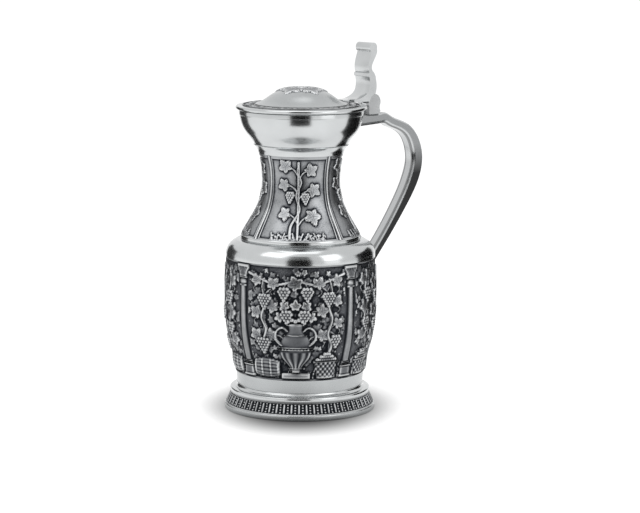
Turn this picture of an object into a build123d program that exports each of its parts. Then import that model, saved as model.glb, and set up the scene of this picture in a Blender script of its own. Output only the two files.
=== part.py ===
from build123d import *
import math
import os

os.makedirs("parts", exist_ok=True)

# A lidded pewter wine flagon, cast and turned in sections that are soldered at their seams.
# Lengths are in millimetres and angles in degrees. The origin is the centre of the foot's
# underside, +Z is up and the handle points along +X.

# Walls and fits
wall = 2.4
lid_gap = 0.3
lid_fit = 0.6
lug_gap = 0.15
pin_fit = 0.05
knuckle_gap = 0.5

# Foot
foot_radius = 62.4
foot_ring_height = 4.9
foot_ring_width = 5.6
foot_edge_round = 0.8
base_plate_thickness = 2.2
base_groove_radius = 48.0
base_groove_width = 1.6
base_groove_depth = 0.6

# Cast border, stepped moulding and plain waist band above the foot ring
border_height = 8.9
border_set_in = 1.0
border_lean = 4.2
border_hollow = 0.8
step_height = 6.9
step_overhang = 0.6
step_roll_height = 3.0
step_cove_depth = 1.8
step_ledge = 1.4
step_waist_flare = 0.5
waist_height = 11.2
waist_taper = 1.0

# Drum with its relief
drum_height = 94.9
drum_foot_radius = 52.8
drum_belly_radius = 61.2
drum_top_fall = 0.4
ground_line_height = 2.2
ground_line_proud = 0.9
column_azimuths = (90.0, 180.0, 270.0)
column_buried = 1.0
pedestal_height = 14.0
pedestal_width = 12.0
pedestal_proud = 1.7
shaft_width = 6.0
shaft_proud = 1.6
capital_height = 13.0
capital_width = 12.0
capital_proud = 1.9

# Cast relief. A form is placed in its panel by its middle's distance along the wall and by its
# height above the wall's foot, and has so few corners that only its mass is held.
relief_buried = 1.0
relief_reach = 24.0
drum_relief_proud = 2.0
neck_relief_proud = 1.2
harvest_azimuths = (45.0, 225.0)
vineyard_azimuths = (135.0, 315.0)
neck_panel_azimuths = (45.0, 135.0, 225.0, 315.0)

# Half widths of the urn on its plinth, and of the fruit heaped over it, up from the ground
urn_outline = (
    (11.5, 1.2),
    (11.5, 6.6),
    (3.4, 7.6),
    (4.6, 11.0),
    (11.8, 20.0),
    (12.8, 29.0),
    (9.2, 38.0),
    (5.6, 43.0),
    (7.2, 48.2),
    (12.8, 52.0),
    (12.4, 59.0),
    (7.0, 65.5),
)

# Barrels lie on the ground and baskets stand on it: middle, half length and half height or height
harvest_barrel = (-27.0, 11.0, 8.4)
harvest_basket = (27.5, 10.0, 14.0)
vineyard_barrel = (27.0, 10.5, 7.8)
vineyard_basket = (-27.5, 9.5, 12.5)
basket_heap = 8.0

# Leaves: middle, height of the middle, reach. Bunches: middle, height of the top, drop
harvest_leaves = (
    (-34.0, 37.5, 6.6),
    (-20.0, 38.5, 6.2),
    (-33.0, 56.0, 6.8),
    (-18.5, 62.0, 6.6),
    (22.0, 38.0, 6.6),
    (35.0, 47.5, 6.0),
    (21.0, 58.5, 6.8),
    (34.0, 66.0, 6.2),
    (-33.0, 82.0, 6.2),
    (-18.0, 80.0, 6.4),
    (0.0, 80.0, 7.2),
    (18.5, 80.5, 6.4),
    (33.5, 82.5, 6.2),
)
harvest_bunches = (
    (-27.5, 36.0, 16.0),
    (-26.0, 72.0, 15.0),
    (-9.5, 78.0, 13.0),
    (9.5, 78.0, 13.0),
    (34.0, 38.5, 12.5),
    (27.0, 74.0, 14.0),
)
vineyard_leaves = (
    (-13.5, 32.0, 7.0),
    (13.5, 39.0, 7.2),
    (-14.0, 53.5, 7.2),
    (14.0, 61.5, 7.0),
    (-13.5, 77.0, 7.2),
    (13.0, 82.0, 6.6),
    (-33.0, 36.0, 6.6),
    (-31.0, 58.0, 6.8),
    (-33.0, 81.0, 6.2),
    (33.5, 30.0, 6.6),
    (31.0, 52.0, 6.8),
    (33.0, 78.0, 6.2),
)
vineyard_bunches = (
    (9.5, 30.0, 14.0),
    (-9.0, 46.5, 14.0),
    (9.5, 54.0, 12.0),
    (-9.0, 70.0, 12.0),
    (-29.5, 50.0, 12.0),
    (29.5, 44.0, 12.0),
    (28.5, 70.0, 13.0),
    (-27.5, 74.0, 13.0),
)

# The vines' stems: middle, lowest and highest point
stem_half_width = 1.5
harvest_stems = ((28.5, 23.5, 60.0),)
vineyard_stems = ((0.0, 1.2, 87.0), (-29.5, 59.0, 73.0), (29.5, 56.0, 69.0))

# The neck's vines, and the ridges between their panels
neck_leaves = (
    (-10.5, 58.5, 6.2),
    (9.5, 55.5, 5.8),
    (-11.5, 44.0, 5.4),
    (12.0, 40.0, 6.0),
    (-10.5, 21.0, 5.6),
    (12.0, 19.5, 6.8),
)
neck_bunches = ((-6.8, 38.5, 10.5), (5.4, 37.5, 10.5))
neck_stem = (0.0, 1.6, 62.0)
neck_ridge = (0.0, 1.0, 66.0)
ridge_half_width = 2.2

# Shoulder, neck and its two polished collars
shoulder_height = 14.0
shoulder_band_height = 4.0
shoulder_overhang = 0.8
shoulder_roll_in = (1.2, 3.6)
shoulder_flat_start = 3.4
lower_collar_height = 4.2
lower_collar_proud = 1.3
lower_collar_round = 0.6
neck_height = 67.0
neck_foot_radius = 48.4
neck_waist_radius = 30.9
neck_top_radius = 34.2
upper_collar_height = 7.4
upper_collar_flare = (0.9, 2.3)
upper_collar_proud = 0.7

# Bowl and its rim
bowl_height = 24.1
bowl_radius = 50.9
bowl_foot_radius = 38.6
rim_height = 4.0
rim_overhang = 0.4
rim_thickness = 3.7
rim_round = 0.7

# Lid
lid_radius = 54.0
lid_thickness = 3.4
lid_hole_radius = 34.0
locating_rim_depth = 4.2
locating_rim_wall = 1.6
locating_rim_lead_in = (0.5, 0.8)
ornament_ring_outer_radius = 48.3
ornament_ring_inner_radius = 38.6
ornament_ring_height = 1.0
dome_radius = 38.0
dome_height = 14.2
dome_wall = 2.0
dome_lip_height = 1.2
leaf_lobes = 5
leaf_fullness = 0.42
leaf_notch = 0.1
leaf_length = 21.0
leaf_spread = 9.5
leaf_azimuth = -42.0
leaf_height = 1.7
small_leaf_length = 10.0
small_leaf_spread = 19.5
small_leaf_turn = -12.0

# Hinge: a pin along Y through two lugs on the handle and the thumbpiece's knuckle
hinge_reach = 76.0
hinge_rise = 2.5
hinge_width = 13.2
knuckle_width = 6.2
knuckle_radius = 6.0
pin_radius = 1.75
lug_radius = 6.9
lug_stem_width = 12.0
lug_scallop_radius = 2.4
lug_scallop_set_in = 1.6

# Handle: a cast strap
handle_reach = 134.0
handle_width = 13.2
arm_drop = 7.5
arm_end = 84.0
arm_depth = 8.6
arm_root_depth = 10.8
strap_bevel = 2.6
strap_round = 1.5
strap_steps = 16
foot_pad_length = 27.0
foot_pad_width = 19.0
foot_pad_thickness = 2.0
plain_margin = 1.5

# Stations down the handle's back: inward from its reach, drop below the mouth, the way the
# back looks, and the depth of the strap there
handle_stations = (
    (32.4, 12.3, 72.0, 8.0),
    (13.6, 20.6, 50.0, 9.2),
    (2.7, 35.1, 22.0, 11.0),
    (0.0, 47.5, 0.0, 11.2),
    (2.9, 62.5, -20.0, 11.0),
    (16.5, 85.3, -34.0, 9.2),
    (39.0, 113.8, -35.5, 7.7),
)
handle_foot_drop = 162.0
handle_foot_look = -35.5
handle_foot_depth = 7.2

# Thumbpiece: tang on the lid, concave foot, collar, waisted blade and roll
thumb_width = 17.5
tang_width = 11.0
tang_thickness = 2.4
tang_start = 41.0
thumb_height = 50.0
thumb_set_back = 8.2
thumb_depth = 8.4
thumb_body_height = 21.5
thumb_root_height = 4.4
thumb_root_reach = 6.0
thumb_bend_height = 9.6
thumb_breast_height = 16.0
thumb_bulge = 0.8
thumb_back_height = 13.0
thumb_back_round = 1.0
thumb_collar_height = 3.6
thumb_collar_proud = 1.4
thumb_collar_bevel = 0.5
thumb_blade_depth = 3.5
thumb_blade_waist = 4.0
thumb_blade_neck = 8.0
thumb_blade_root = 1.8
roll_radius = 4.1
roll_forward = 3.6
tang_lap = 3.0
web_lap = 1.0
web_reach = 4.0

# Radii that follow from those that they sit on
border_foot_radius = foot_radius - border_set_in
border_top_radius = border_foot_radius - border_lean
step_radius = border_top_radius + step_overhang
waist_radius = drum_foot_radius - waist_taper
step_cove_radius = waist_radius + step_cove_depth
drum_top_radius = drum_belly_radius - drum_top_fall
shoulder_radius = drum_top_radius + shoulder_overhang
lower_collar_radius = neck_foot_radius + lower_collar_proud
upper_collar_radius = bowl_foot_radius + upper_collar_proud
rim_radius = bowl_radius + rim_overhang

# Heights of the seams, from the foot up
border_z = foot_ring_height
step_z = border_z + border_height
waist_z = step_z + step_height
drum_z = waist_z + waist_height
shoulder_z = drum_z + drum_height
lower_collar_z = shoulder_z + shoulder_height
neck_z = lower_collar_z + lower_collar_height
upper_collar_z = neck_z + neck_height
bowl_z = upper_collar_z + upper_collar_height
rim_z = bowl_z + bowl_height
mouth_z = rim_z + rim_height
lid_z = mouth_z + lid_gap
lid_top_z = lid_z + lid_thickness

# The hinge pin's centre and the arm's flat top
hinge_x = hinge_reach
hinge_z = mouth_z + hinge_rise
arm_z = mouth_z - arm_drop


def save(piece, name):
    """Labels a finished piece and writes it."""
    piece.part.label = name
    export_step(piece.part, f"parts/{name}.step")


def drum_line(grow=0.0):
    """Points up the drum's outer line, each moved out by grow."""
    flare = drum_belly_radius - drum_foot_radius
    shares = ((0.0, 0.0), (0.14, 0.22), (0.29, 0.64), (0.47, 0.93), (0.7, 1.0))
    points = [
        (drum_foot_radius + grow + out * flare, drum_z + up * drum_height)
        for up, out in shares
    ]
    return points + [(drum_top_radius + grow, shoulder_z)]


def neck_line(grow=0.0):
    """Points up the waisted neck's outer line, each moved out by grow."""
    fall = neck_foot_radius - neck_waist_radius
    rise = neck_top_radius - neck_waist_radius
    lower = ((0.0, 1.0), (0.18, 0.6), (0.38, 0.19), (0.7, 0.0))
    points = [
        (neck_waist_radius + grow + out * fall, neck_z + up * neck_height)
        for up, out in lower
    ]
    points.append((neck_waist_radius + grow + 0.35 * rise, neck_z + 0.87 * neck_height))
    return points + [(neck_top_radius + grow, upper_collar_z)]


def bowl_line(grow=0.0):
    """Points up the bowl's outer line, each moved out by grow."""
    swell = bowl_radius - bowl_foot_radius
    shares = ((0.0, 0.0), (0.14, 0.17), (0.4, 0.57), (0.69, 0.86), (1.0, 1.0))
    return [
        (bowl_foot_radius + grow + out * swell, bowl_z + up * bowl_height)
        for up, out in shares
    ]


def dome_line(drop=0.0):
    """Points from the dome's edge to its crown, each lowered by drop."""
    shares = ((1.0, 0.0), (0.86, 0.16), (0.62, 0.62), (0.34, 0.91), (0.0, 1.0))
    rise = dome_height - dome_lip_height
    foot = lid_top_z + dome_lip_height - drop
    return [(out * dome_radius, foot + up * rise) for out, up in shares]


def curved_wall(line, name):
    """Saves a turned wall whose outer line is line(), a wall thickness thick."""
    outer, inner = line(), line(-wall)
    with BuildPart() as piece:
        with BuildSketch(Plane.XZ):
            with BuildLine():
                Spline(*outer)
                Line(outer[-1], inner[-1])
                Spline(*reversed(inner))
                Line(inner[0], outer[0])
            make_face()
        revolve(axis=Axis.Z)
    save(piece, name)


def turned(name, corners):
    """Saves a ring turned from straight-sided corners (radius, height)."""
    with BuildPart() as piece:
        with BuildSketch(Plane.XZ):
            with BuildLine():
                Polyline(*corners, close=True)
            make_face()
        revolve(axis=Axis.Z)
    save(piece, name)


def inside_of(line, grow=0.0):
    """A solid that fills the inside of a turned line, moved out by grow."""
    outer = line(grow)
    with BuildPart() as solid:
        with BuildSketch(Plane.XZ):
            with BuildLine():
                Spline(*outer)
                Polyline(outer[-1], (0, outer[-1][1]), (0, outer[0][1]), outer[0])
            make_face()
        revolve(axis=Axis.Z)
    return solid.part


def radius_at(line, height):
    """Radius of a turned line at a height, straight from point to point."""
    points = line()
    for (below, low), (above, high) in zip(points, points[1:]):
        if height <= high:
            return below + (above - below) * (height - low) / (high - low)
    return points[-1][0]


def leaf_form(middle, height, reach):
    """A leaf's mass: a pentagon that points down."""
    turns = [math.radians(-90 + 72 * corner) for corner in range(5)]
    return [(middle, height), [(reach * math.cos(t), reach * math.sin(t)) for t in turns]]


def bunch_form(middle, top, drop):
    """A hanging bunch of grapes: broad at its top and narrow below."""
    half = 0.48 * drop
    corners = [(-half, -0.18 * drop), (0.0, -drop), (half, -0.18 * drop), (0.5 * half, 0), (-0.5 * half, 0)]
    return [(middle, top), corners]


def stem_form(middle, low, high, half):
    """An upright stem."""
    return [(middle, low), [(-half, 0), (half, 0), (half, high - low), (-half, high - low)]]


def barrel_form(middle, half_length, half_height):
    """A lying barrel, seen from its side."""
    end = 0.78 * half_height
    corners = [
        (-half_length, -end),
        (0, -half_height),
        (half_length, -end),
        (half_length, end),
        (0, half_height),
        (-half_length, end),
    ]
    return [(middle, ground_line_height - relief_buried + half_height), corners]


def basket_form(middle, half_width, height):
    """A basket that widens to its rim, heaped with grapes."""
    foot = 0.72 * half_width
    corners = [
        (-foot, 0),
        (foot, 0),
        (half_width, height),
        (0.45 * half_width, height + basket_heap),
        (-0.45 * half_width, height + basket_heap),
        (-half_width, height),
    ]
    return [(middle, ground_line_height - relief_buried), corners]


def relief(line, foot, proud, panels):
    """Forms raised from a turned wall. panels holds pairs of azimuths and the forms there."""
    start = min(radius for radius, _ in line()) - wall
    with BuildPart() as raised:
        for azimuths, forms in panels:
            for (middle, height), corners in forms:
                off = math.degrees(middle / radius_at(line, foot + height))
                for azimuth in azimuths:
                    turn = math.radians(azimuth + off)
                    outward = Vector(math.cos(turn), math.sin(turn), 0)
                    place = Plane(
                        outward * start + Vector(0, 0, foot + height),
                        x_dir=(-math.sin(turn), math.cos(turn), 0),
                        z_dir=outward,
                    )
                    with BuildSketch(place):
                        with BuildLine():
                            Polyline(*corners, close=True)
                        make_face()
                    extrude(amount=relief_reach)
        add(inside_of(line, proud), mode=Mode.INTERSECT)
        add(inside_of(line, -relief_buried), mode=Mode.SUBTRACT)
    return raised.part


def drum_relief():
    """Two panels with an urn among the harvest and two with a staked vine, clear of the handle."""
    half_urn = [(half, height) for half, height in urn_outline]
    urn = half_urn + [(-half, height) for half, height in reversed(half_urn)]
    harvest = [[(0.0, 0.0), urn], barrel_form(*harvest_barrel), basket_form(*harvest_basket)]
    harvest += [leaf_form(*leaf) for leaf in harvest_leaves]
    harvest += [bunch_form(*bunch) for bunch in harvest_bunches]
    harvest += [stem_form(*stem, stem_half_width) for stem in harvest_stems]
    vineyard = [barrel_form(*vineyard_barrel), basket_form(*vineyard_basket)]
    vineyard += [leaf_form(*leaf) for leaf in vineyard_leaves]
    vineyard += [bunch_form(*bunch) for bunch in vineyard_bunches]
    vineyard += [stem_form(*stem, stem_half_width) for stem in vineyard_stems]
    panels = ((harvest_azimuths, harvest), (vineyard_azimuths, vineyard))
    with BuildPart() as forms:
        add(relief(drum_line, drum_z, drum_relief_proud, panels))
        with Locations((drum_belly_radius, 0, (drum_z + shoulder_z) / 2)):
            Box(foot_pad_width, foot_pad_width + 2 * plain_margin, drum_height, mode=Mode.SUBTRACT)
    return forms.part


def foot_ring():
    """Plain band that the flagon stands on."""
    inner = foot_radius - foot_ring_width
    with BuildPart() as ring:
        with BuildSketch(Plane.XZ) as section:
            with BuildLine():
                Polyline(
                    (inner, 0),
                    (foot_radius, 0),
                    (foot_radius, foot_ring_height),
                    (inner, foot_ring_height),
                    close=True,
                )
            make_face()
            fillet(section.vertices().group_by(Axis.X)[-1], foot_edge_round)
        revolve(axis=Axis.Z)
    save(ring, "foot_ring")


def base_plate():
    """Disc that closes the foot, flush with the ring's underside, with one turned groove."""
    with BuildPart() as plate:
        Cylinder(
            foot_radius - foot_ring_width,
            base_plate_thickness,
            align=(Align.CENTER, Align.CENTER, Align.MIN),
        )
        with BuildSketch(Plane.XY):
            Circle(base_groove_radius)
            Circle(base_groove_radius - base_groove_width, mode=Mode.SUBTRACT)
        extrude(amount=base_groove_depth, mode=Mode.SUBTRACT)
    save(plate, "base_plate")


def foot_ornament_band():
    """Hollowed conical band that carries the bar and bead border."""
    middle = (
        (border_foot_radius + border_top_radius) / 2 - border_hollow,
        border_z + border_height / 2,
    )
    foot_inner = border_foot_radius - wall - border_hollow
    top_inner = border_top_radius - wall - border_hollow
    with BuildPart() as band:
        with BuildSketch(Plane.XZ):
            with BuildLine():
                ThreePointArc((border_foot_radius, border_z), middle, (border_top_radius, step_z))
                Polyline(
                    (border_top_radius, step_z),
                    (top_inner, step_z),
                    (foot_inner, border_z),
                    (border_foot_radius, border_z),
                )
            make_face()
        revolve(axis=Axis.Z)
    save(band, "foot_ornament_band")


def foot_step():
    """Polished moulding: a roll, a cove and a narrow fillet under the waist band."""
    roll_z = step_z + step_roll_height
    foot_inner = border_top_radius - wall - border_hollow
    with BuildPart() as step:
        with BuildSketch(Plane.XZ):
            with BuildLine():
                ThreePointArc(
                    (border_top_radius, step_z),
                    (step_radius, step_z + step_roll_height / 2),
                    (step_cove_radius + step_ledge, roll_z),
                )
                Line((step_cove_radius + step_ledge, roll_z), (step_cove_radius, roll_z))
                Spline(
                    (step_cove_radius, roll_z),
                    (waist_radius + step_waist_flare, (roll_z + waist_z) / 2),
                    (waist_radius, waist_z),
                )
                Polyline(
                    (waist_radius, waist_z),
                    (waist_radius - wall, waist_z),
                    (foot_inner, step_z),
                    (border_top_radius, step_z),
                )
            make_face()
        revolve(axis=Axis.Z)
    save(step, "foot_step")


def column():
    """One applied column, at azimuth 0: pedestal, shaft and capital that follow the drum."""
    shaft_z = drum_z + ground_line_height + pedestal_height
    capital_z = shoulder_z - ground_line_height - capital_height
    pieces = (
        (drum_z + ground_line_height, shaft_z, pedestal_width, pedestal_proud),
        (shaft_z, capital_z, shaft_width, shaft_proud),
        (capital_z, shoulder_z - ground_line_height, capital_width, capital_proud),
    )
    solids = []
    for low, high, width, proud in pieces:
        outer, inner = drum_line(proud), drum_line(-column_buried)
        spread = math.degrees(width / drum_belly_radius)
        with BuildPart() as block:
            with BuildSketch(Plane.XZ.rotated((0, 0, -spread / 2))):
                with BuildLine():
                    Spline(*outer)
                    Line(outer[-1], inner[-1])
                    Spline(*reversed(inner))
                    Line(inner[0], outer[0])
                make_face()
            revolve(axis=Axis.Z, revolution_arc=spread)
            with Locations((drum_belly_radius, 0, (low + high) / 2)):
                Box(4 * capital_width, 2 * capital_width, high - low, mode=Mode.INTERSECT)
        solids.append(block.part)
    return solids


def body_drum():
    """Bellied drum with its ground line, top line, three columns and relief."""
    outer, inner = drum_line(), drum_line(-wall)
    lines = (
        (drum_z, drum_foot_radius),
        (shoulder_z - ground_line_height, drum_top_radius),
    )
    with BuildPart() as drum:
        with BuildSketch(Plane.XZ):
            with BuildLine():
                Spline(*outer)
                Line(outer[-1], inner[-1])
                Spline(*reversed(inner))
                Line(inner[0], outer[0])
            make_face()
        revolve(axis=Axis.Z)
        for low, radius in lines:
            with BuildSketch(Plane.XY.offset(low)):
                Circle(radius + ground_line_proud)
                Circle(radius - column_buried, mode=Mode.SUBTRACT)
            extrude(amount=ground_line_height)
        for azimuth in column_azimuths:
            with Locations(Location((0, 0, 0), (0, 0, azimuth))):
                add(column())
        add(drum_relief())
    save(drum, "body_drum")


def shoulder():
    """Bright turned shoulder: an upright band that rolls over to a flat under the neck."""
    band_z = shoulder_z + shoulder_band_height
    seat = lower_collar_radius - wall
    rise = shoulder_height - shoulder_band_height
    flat_start = lower_collar_radius + shoulder_flat_start

    def line(shrink):
        """Upright band, roll and flat, shrunk inwards and downwards."""
        top = lower_collar_z - shrink
        edge = shoulder_radius - shrink
        Line((edge, shoulder_z), (edge, band_z))
        Spline(
            (edge, band_z),
            (edge - shoulder_roll_in[0], band_z + 0.34 * rise),
            (edge - shoulder_roll_in[1], band_z + 0.68 * (rise - shrink)),
            (flat_start - shrink, top),
            tangents=((0, 1), (-1, 0.25)),
        )
        Line((flat_start - shrink, top), (seat, top))

    with BuildPart() as piece:
        with BuildSketch(Plane.XZ):
            with BuildLine():
                line(0.0)
                line(wall)
                Line((seat, lower_collar_z), (seat, lower_collar_z - wall))
                Line((shoulder_radius, shoulder_z), (shoulder_radius - wall, shoulder_z))
            make_face()
        revolve(axis=Axis.Z)
    save(piece, "shoulder")


def lower_neck_collar():
    """Polished half-round ring where the neck meets the shoulder."""
    inner = neck_foot_radius - wall
    edge = lower_collar_radius - lower_collar_round
    with BuildPart() as collar:
        with BuildSketch(Plane.XZ):
            with BuildLine():
                ThreePointArc(
                    (edge, lower_collar_z),
                    (lower_collar_radius, lower_collar_z + lower_collar_height / 2),
                    (edge, neck_z),
                )
                Polyline((edge, neck_z), (inner, neck_z), (inner, lower_collar_z), (edge, lower_collar_z))
            make_face()
        revolve(axis=Axis.Z)
    save(collar, "lower_neck_collar")


def neck():
    """Waisted neck with a staked vine in each of four panels between ridges."""
    outer, inner = neck_line(), neck_line(-wall)
    vine = [leaf_form(*leaf) for leaf in neck_leaves]
    vine += [bunch_form(*bunch) for bunch in neck_bunches]
    vine.append(stem_form(*neck_stem, stem_half_width))
    ridge_azimuths = [azimuth - 45.0 for azimuth in neck_panel_azimuths]
    ridge = [stem_form(*neck_ridge, ridge_half_width)]
    panels = ((neck_panel_azimuths, vine), (ridge_azimuths, ridge))
    with BuildPart() as piece:
        with BuildSketch(Plane.XZ):
            with BuildLine():
                Spline(*outer)
                Line(outer[-1], inner[-1])
                Spline(*reversed(inner))
                Line(inner[0], outer[0])
            make_face()
        revolve(axis=Axis.Z)
        add(relief(neck_line, neck_z, neck_relief_proud, panels))
    save(piece, "neck")


def upper_neck_collar():
    """Polished flared ring between the neck and the bowl."""
    middle_z = upper_collar_z + upper_collar_height / 2
    foot_edge, middle_edge = (neck_top_radius + flare for flare in upper_collar_flare)
    with BuildPart() as collar:
        with BuildSketch(Plane.XZ):
            with BuildLine():
                Spline(
                    (foot_edge, upper_collar_z),
                    (middle_edge, middle_z),
                    (upper_collar_radius, bowl_z),
                )
                Polyline(
                    (upper_collar_radius, bowl_z),
                    (bowl_foot_radius - wall, bowl_z),
                    (neck_top_radius - wall, upper_collar_z),
                    (foot_edge, upper_collar_z),
                )
            make_face()
        revolve(axis=Axis.Z)
    save(collar, "upper_neck_collar")


def bowl_rim():
    """Thickened band round the mouth."""
    inner = rim_radius - rim_thickness
    with BuildPart() as rim:
        with BuildSketch(Plane.XZ) as section:
            with BuildLine():
                Polyline(
                    (inner, rim_z),
                    (rim_radius, rim_z),
                    (rim_radius, mouth_z),
                    (inner, mouth_z),
                    close=True,
                )
            make_face()
            fillet(section.vertices().group_by(Axis.Y)[-1], rim_round)
        revolve(axis=Axis.Z)
    save(rim, "bowl_rim")


def lid_plate():
    """Flat ring-shaped lid plate with a half-round edge."""
    edge = lid_radius - lid_thickness / 2
    with BuildPart() as plate:
        with BuildSketch(Plane.XZ):
            with BuildLine():
                Line((lid_hole_radius, lid_z), (edge, lid_z))
                ThreePointArc((edge, lid_z), (lid_radius, (lid_z + lid_top_z) / 2), (edge, lid_top_z))
                Polyline((edge, lid_top_z), (lid_hole_radius, lid_top_z), (lid_hole_radius, lid_z))
            make_face()
        revolve(axis=Axis.Z)
    save(plate, "lid_plate")


def lid_locating_rim():
    """Ring under the plate that drops inside the mouth."""
    outer = rim_radius - rim_thickness - lid_fit
    inner = outer - locating_rim_wall
    lead_in, lead_height = locating_rim_lead_in
    turned(
        "lid_locating_rim",
        (
            (inner, lid_z - locating_rim_depth),
            (outer - lead_in, lid_z - locating_rim_depth),
            (outer, lid_z - locating_rim_depth + lead_height),
            (outer, lid_z),
            (inner, lid_z),
        ),
    )


def tang_slot():
    """The tang's footprint on the lid, as a solid that other pieces are cut by."""
    with BuildPart() as slot:
        with Locations((tang_start, 0, lid_top_z)):
            Box(
                hinge_reach - tang_start,
                tang_width,
                tang_thickness,
                align=(Align.MIN, Align.CENTER, Align.MIN),
            )
    return slot.part


def lid_ornament_ring():
    """Cast foliate ring on the plate, cut away where the tang lies."""
    with BuildPart() as ring:
        with BuildSketch(Plane.XY.offset(lid_top_z)):
            Circle(ornament_ring_outer_radius)
            Circle(ornament_ring_inner_radius, mode=Mode.SUBTRACT)
        extrude(amount=ornament_ring_height)
        add(tang_slot(), mode=Mode.SUBTRACT)
    save(ring, "lid_ornament_ring")


def dome_solid(drop, foot):
    """The space under the dome's line, lowered by drop and closed at the height foot."""
    line = dome_line(drop)
    with BuildPart() as solid:
        with BuildSketch(Plane.XZ):
            with BuildLine():
                Spline(*line, tangents=((-1, 0.25), (-1, 0)))
                Polyline(line[-1], (0, foot), (line[0][0], foot), line[0])
            make_face()
        revolve(axis=Axis.Z)
    return solid.part


def lid_dome():
    """Low ogee dome over the hole in the plate."""
    with BuildPart() as dome:
        add(dome_solid(0.0, lid_top_z))
        with BuildSketch(Plane.XZ):
            with BuildLine():
                hollow = [(out * (lid_hole_radius / dome_radius), up) for out, up in dome_line(dome_wall)]
                hollow[0] = (lid_hole_radius, lid_top_z)
                Spline(*hollow)
                Polyline(hollow[-1], (0, lid_top_z), hollow[0])
            make_face()
        revolve(axis=Axis.Z, mode=Mode.SUBTRACT)
    save(dome, "lid_dome")


def leaf_outline(length, spread):
    """Lobed vine leaf that points along +X, spread away from Z."""
    count = 4 * leaf_lobes
    turns = [2 * math.pi * step / count for step in range(count)]
    reach = [
        length * (leaf_fullness + leaf_notch * math.cos(leaf_lobes * turn)) for turn in turns
    ]
    return [
        (spread + far * math.cos(turn), far * math.sin(turn)) for far, turn in zip(reach, turns)
    ]


def lid_medallion():
    """Three vine leaves applied over the dome's crown."""
    leaves = (
        (leaf_length, leaf_spread, leaf_azimuth + 180.0),
        (leaf_length, leaf_spread, leaf_azimuth),
        (small_leaf_length, small_leaf_spread, leaf_azimuth + small_leaf_turn),
    )
    with BuildPart() as medallion:
        for length, spread, azimuth in leaves:
            with BuildSketch(Plane.XY.offset(lid_top_z).rotated((0, 0, azimuth))):
                with BuildLine():
                    Spline(*leaf_outline(length, spread), periodic=True)
                make_face()
            extrude(amount=dome_height + leaf_height)
        add(dome_solid(-leaf_height, lid_top_z), mode=Mode.INTERSECT)
        add(dome_solid(0.0, lid_top_z), mode=Mode.SUBTRACT)
    save(medallion, "lid_medallion")


def thumbpiece():
    """Tang, knuckle, concave foot, collar, waisted blade and roll, cast in one."""
    back = hinge_x
    front = back - thumb_set_back
    body_top = hinge_z + thumb_body_height
    collar_top = body_top + thumb_collar_height
    roll_z = hinge_z + thumb_height - roll_radius
    blade_back = front + thumb_blade_depth
    seat_z = lid_top_z
    tang_end = lid_radius - tang_lap
    swing = lug_radius + knuckle_gap
    heel = front + thumb_depth - thumb_back_round
    with BuildPart() as piece:
        with BuildSketch(Plane.XZ):
            with BuildLine():
                Spline(
                    (tang_end, seat_z + tang_thickness * 0.7),
                    (front - thumb_root_reach, seat_z + thumb_root_height),
                    (front - thumb_bulge, hinge_z + thumb_bend_height),
                    (front + thumb_bulge, hinge_z + thumb_breast_height),
                    (front, body_top),
                )
                Polyline(
                    (front, body_top),
                    (front - thumb_collar_proud, body_top + thumb_collar_bevel),
                    (front - thumb_collar_proud, collar_top - thumb_collar_bevel),
                    (front, collar_top),
                )
                Spline(
                    (front, collar_top),
                    (front - thumb_bulge, collar_top + thumb_blade_waist),
                    (front + thumb_bulge, roll_z - thumb_blade_neck),
                    (front + roll_forward, roll_z),
                )
                Line((front + roll_forward, roll_z), (front + roll_forward + roll_radius, roll_z))
                Spline(
                    (front + roll_forward + roll_radius, roll_z),
                    (blade_back + thumb_bulge, roll_z - 1.5 * thumb_blade_neck),
                    (blade_back - thumb_bulge, collar_top + thumb_blade_waist),
                    (blade_back + thumb_blade_root, collar_top),
                )
                Polyline(
                    (blade_back + thumb_blade_root, collar_top),
                    (blade_back + 2 * thumb_blade_root, body_top + thumb_collar_bevel),
                    (heel, body_top - thumb_collar_proud),
                )
                Spline(
                    (heel, body_top - thumb_collar_proud),
                    (front + thumb_depth, hinge_z + thumb_back_height),
                    (heel, hinge_z + swing),
                )
                Polyline(
                    (heel, hinge_z + swing),
                    (front, hinge_z),
                    (front, seat_z),
                    (tang_end, seat_z),
                    (tang_end, seat_z + tang_thickness * 0.7),
                )
            make_face()
        extrude(amount=thumb_width / 2, both=True)
        with Locations(Location((front + roll_forward + thumb_bulge, 0, roll_z), (90, 0, 0))):
            Cylinder(roll_radius, thumb_width)
        with Locations(Location((hinge_x, 0, hinge_z), (90, 0, 0))):
            Cylinder(swing, 2 * thumb_width, mode=Mode.SUBTRACT)
        with BuildSketch(Plane.XZ):
            with Locations((hinge_x, hinge_z)):
                Circle(knuckle_radius)
            with BuildLine():
                Polyline(
                    (lid_radius + lid_gap, seat_z),
                    (hinge_x, hinge_z - pin_radius),
                    (hinge_x, hinge_z + swing + web_lap),
                    (front, hinge_z + swing + web_lap),
                    (front - web_reach, seat_z + tang_thickness),
                    (lid_radius + lid_gap, seat_z + tang_thickness),
                    close=True,
                )
            make_face()
        extrude(amount=knuckle_width / 2, both=True)
        with Locations((tang_start, 0, seat_z)):
            Box(
                hinge_x - swing - tang_start,
                tang_width,
                tang_thickness,
                align=(Align.MIN, Align.CENTER, Align.MIN),
            )
        with Locations(Location((hinge_x, 0, hinge_z), (90, 0, 0))):
            Cylinder(pin_radius + pin_fit, 2 * thumb_width, mode=Mode.SUBTRACT)
    save(piece, "thumbpiece")


def hinge_pin():
    """Pin through both lugs and the knuckle, filed flush with the lugs."""
    with BuildPart() as pin:
        with Locations(Location((hinge_x, 0, hinge_z), (90, 0, 0))):
            Cylinder(pin_radius, hinge_width)
    save(pin, "hinge_pin")


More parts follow.
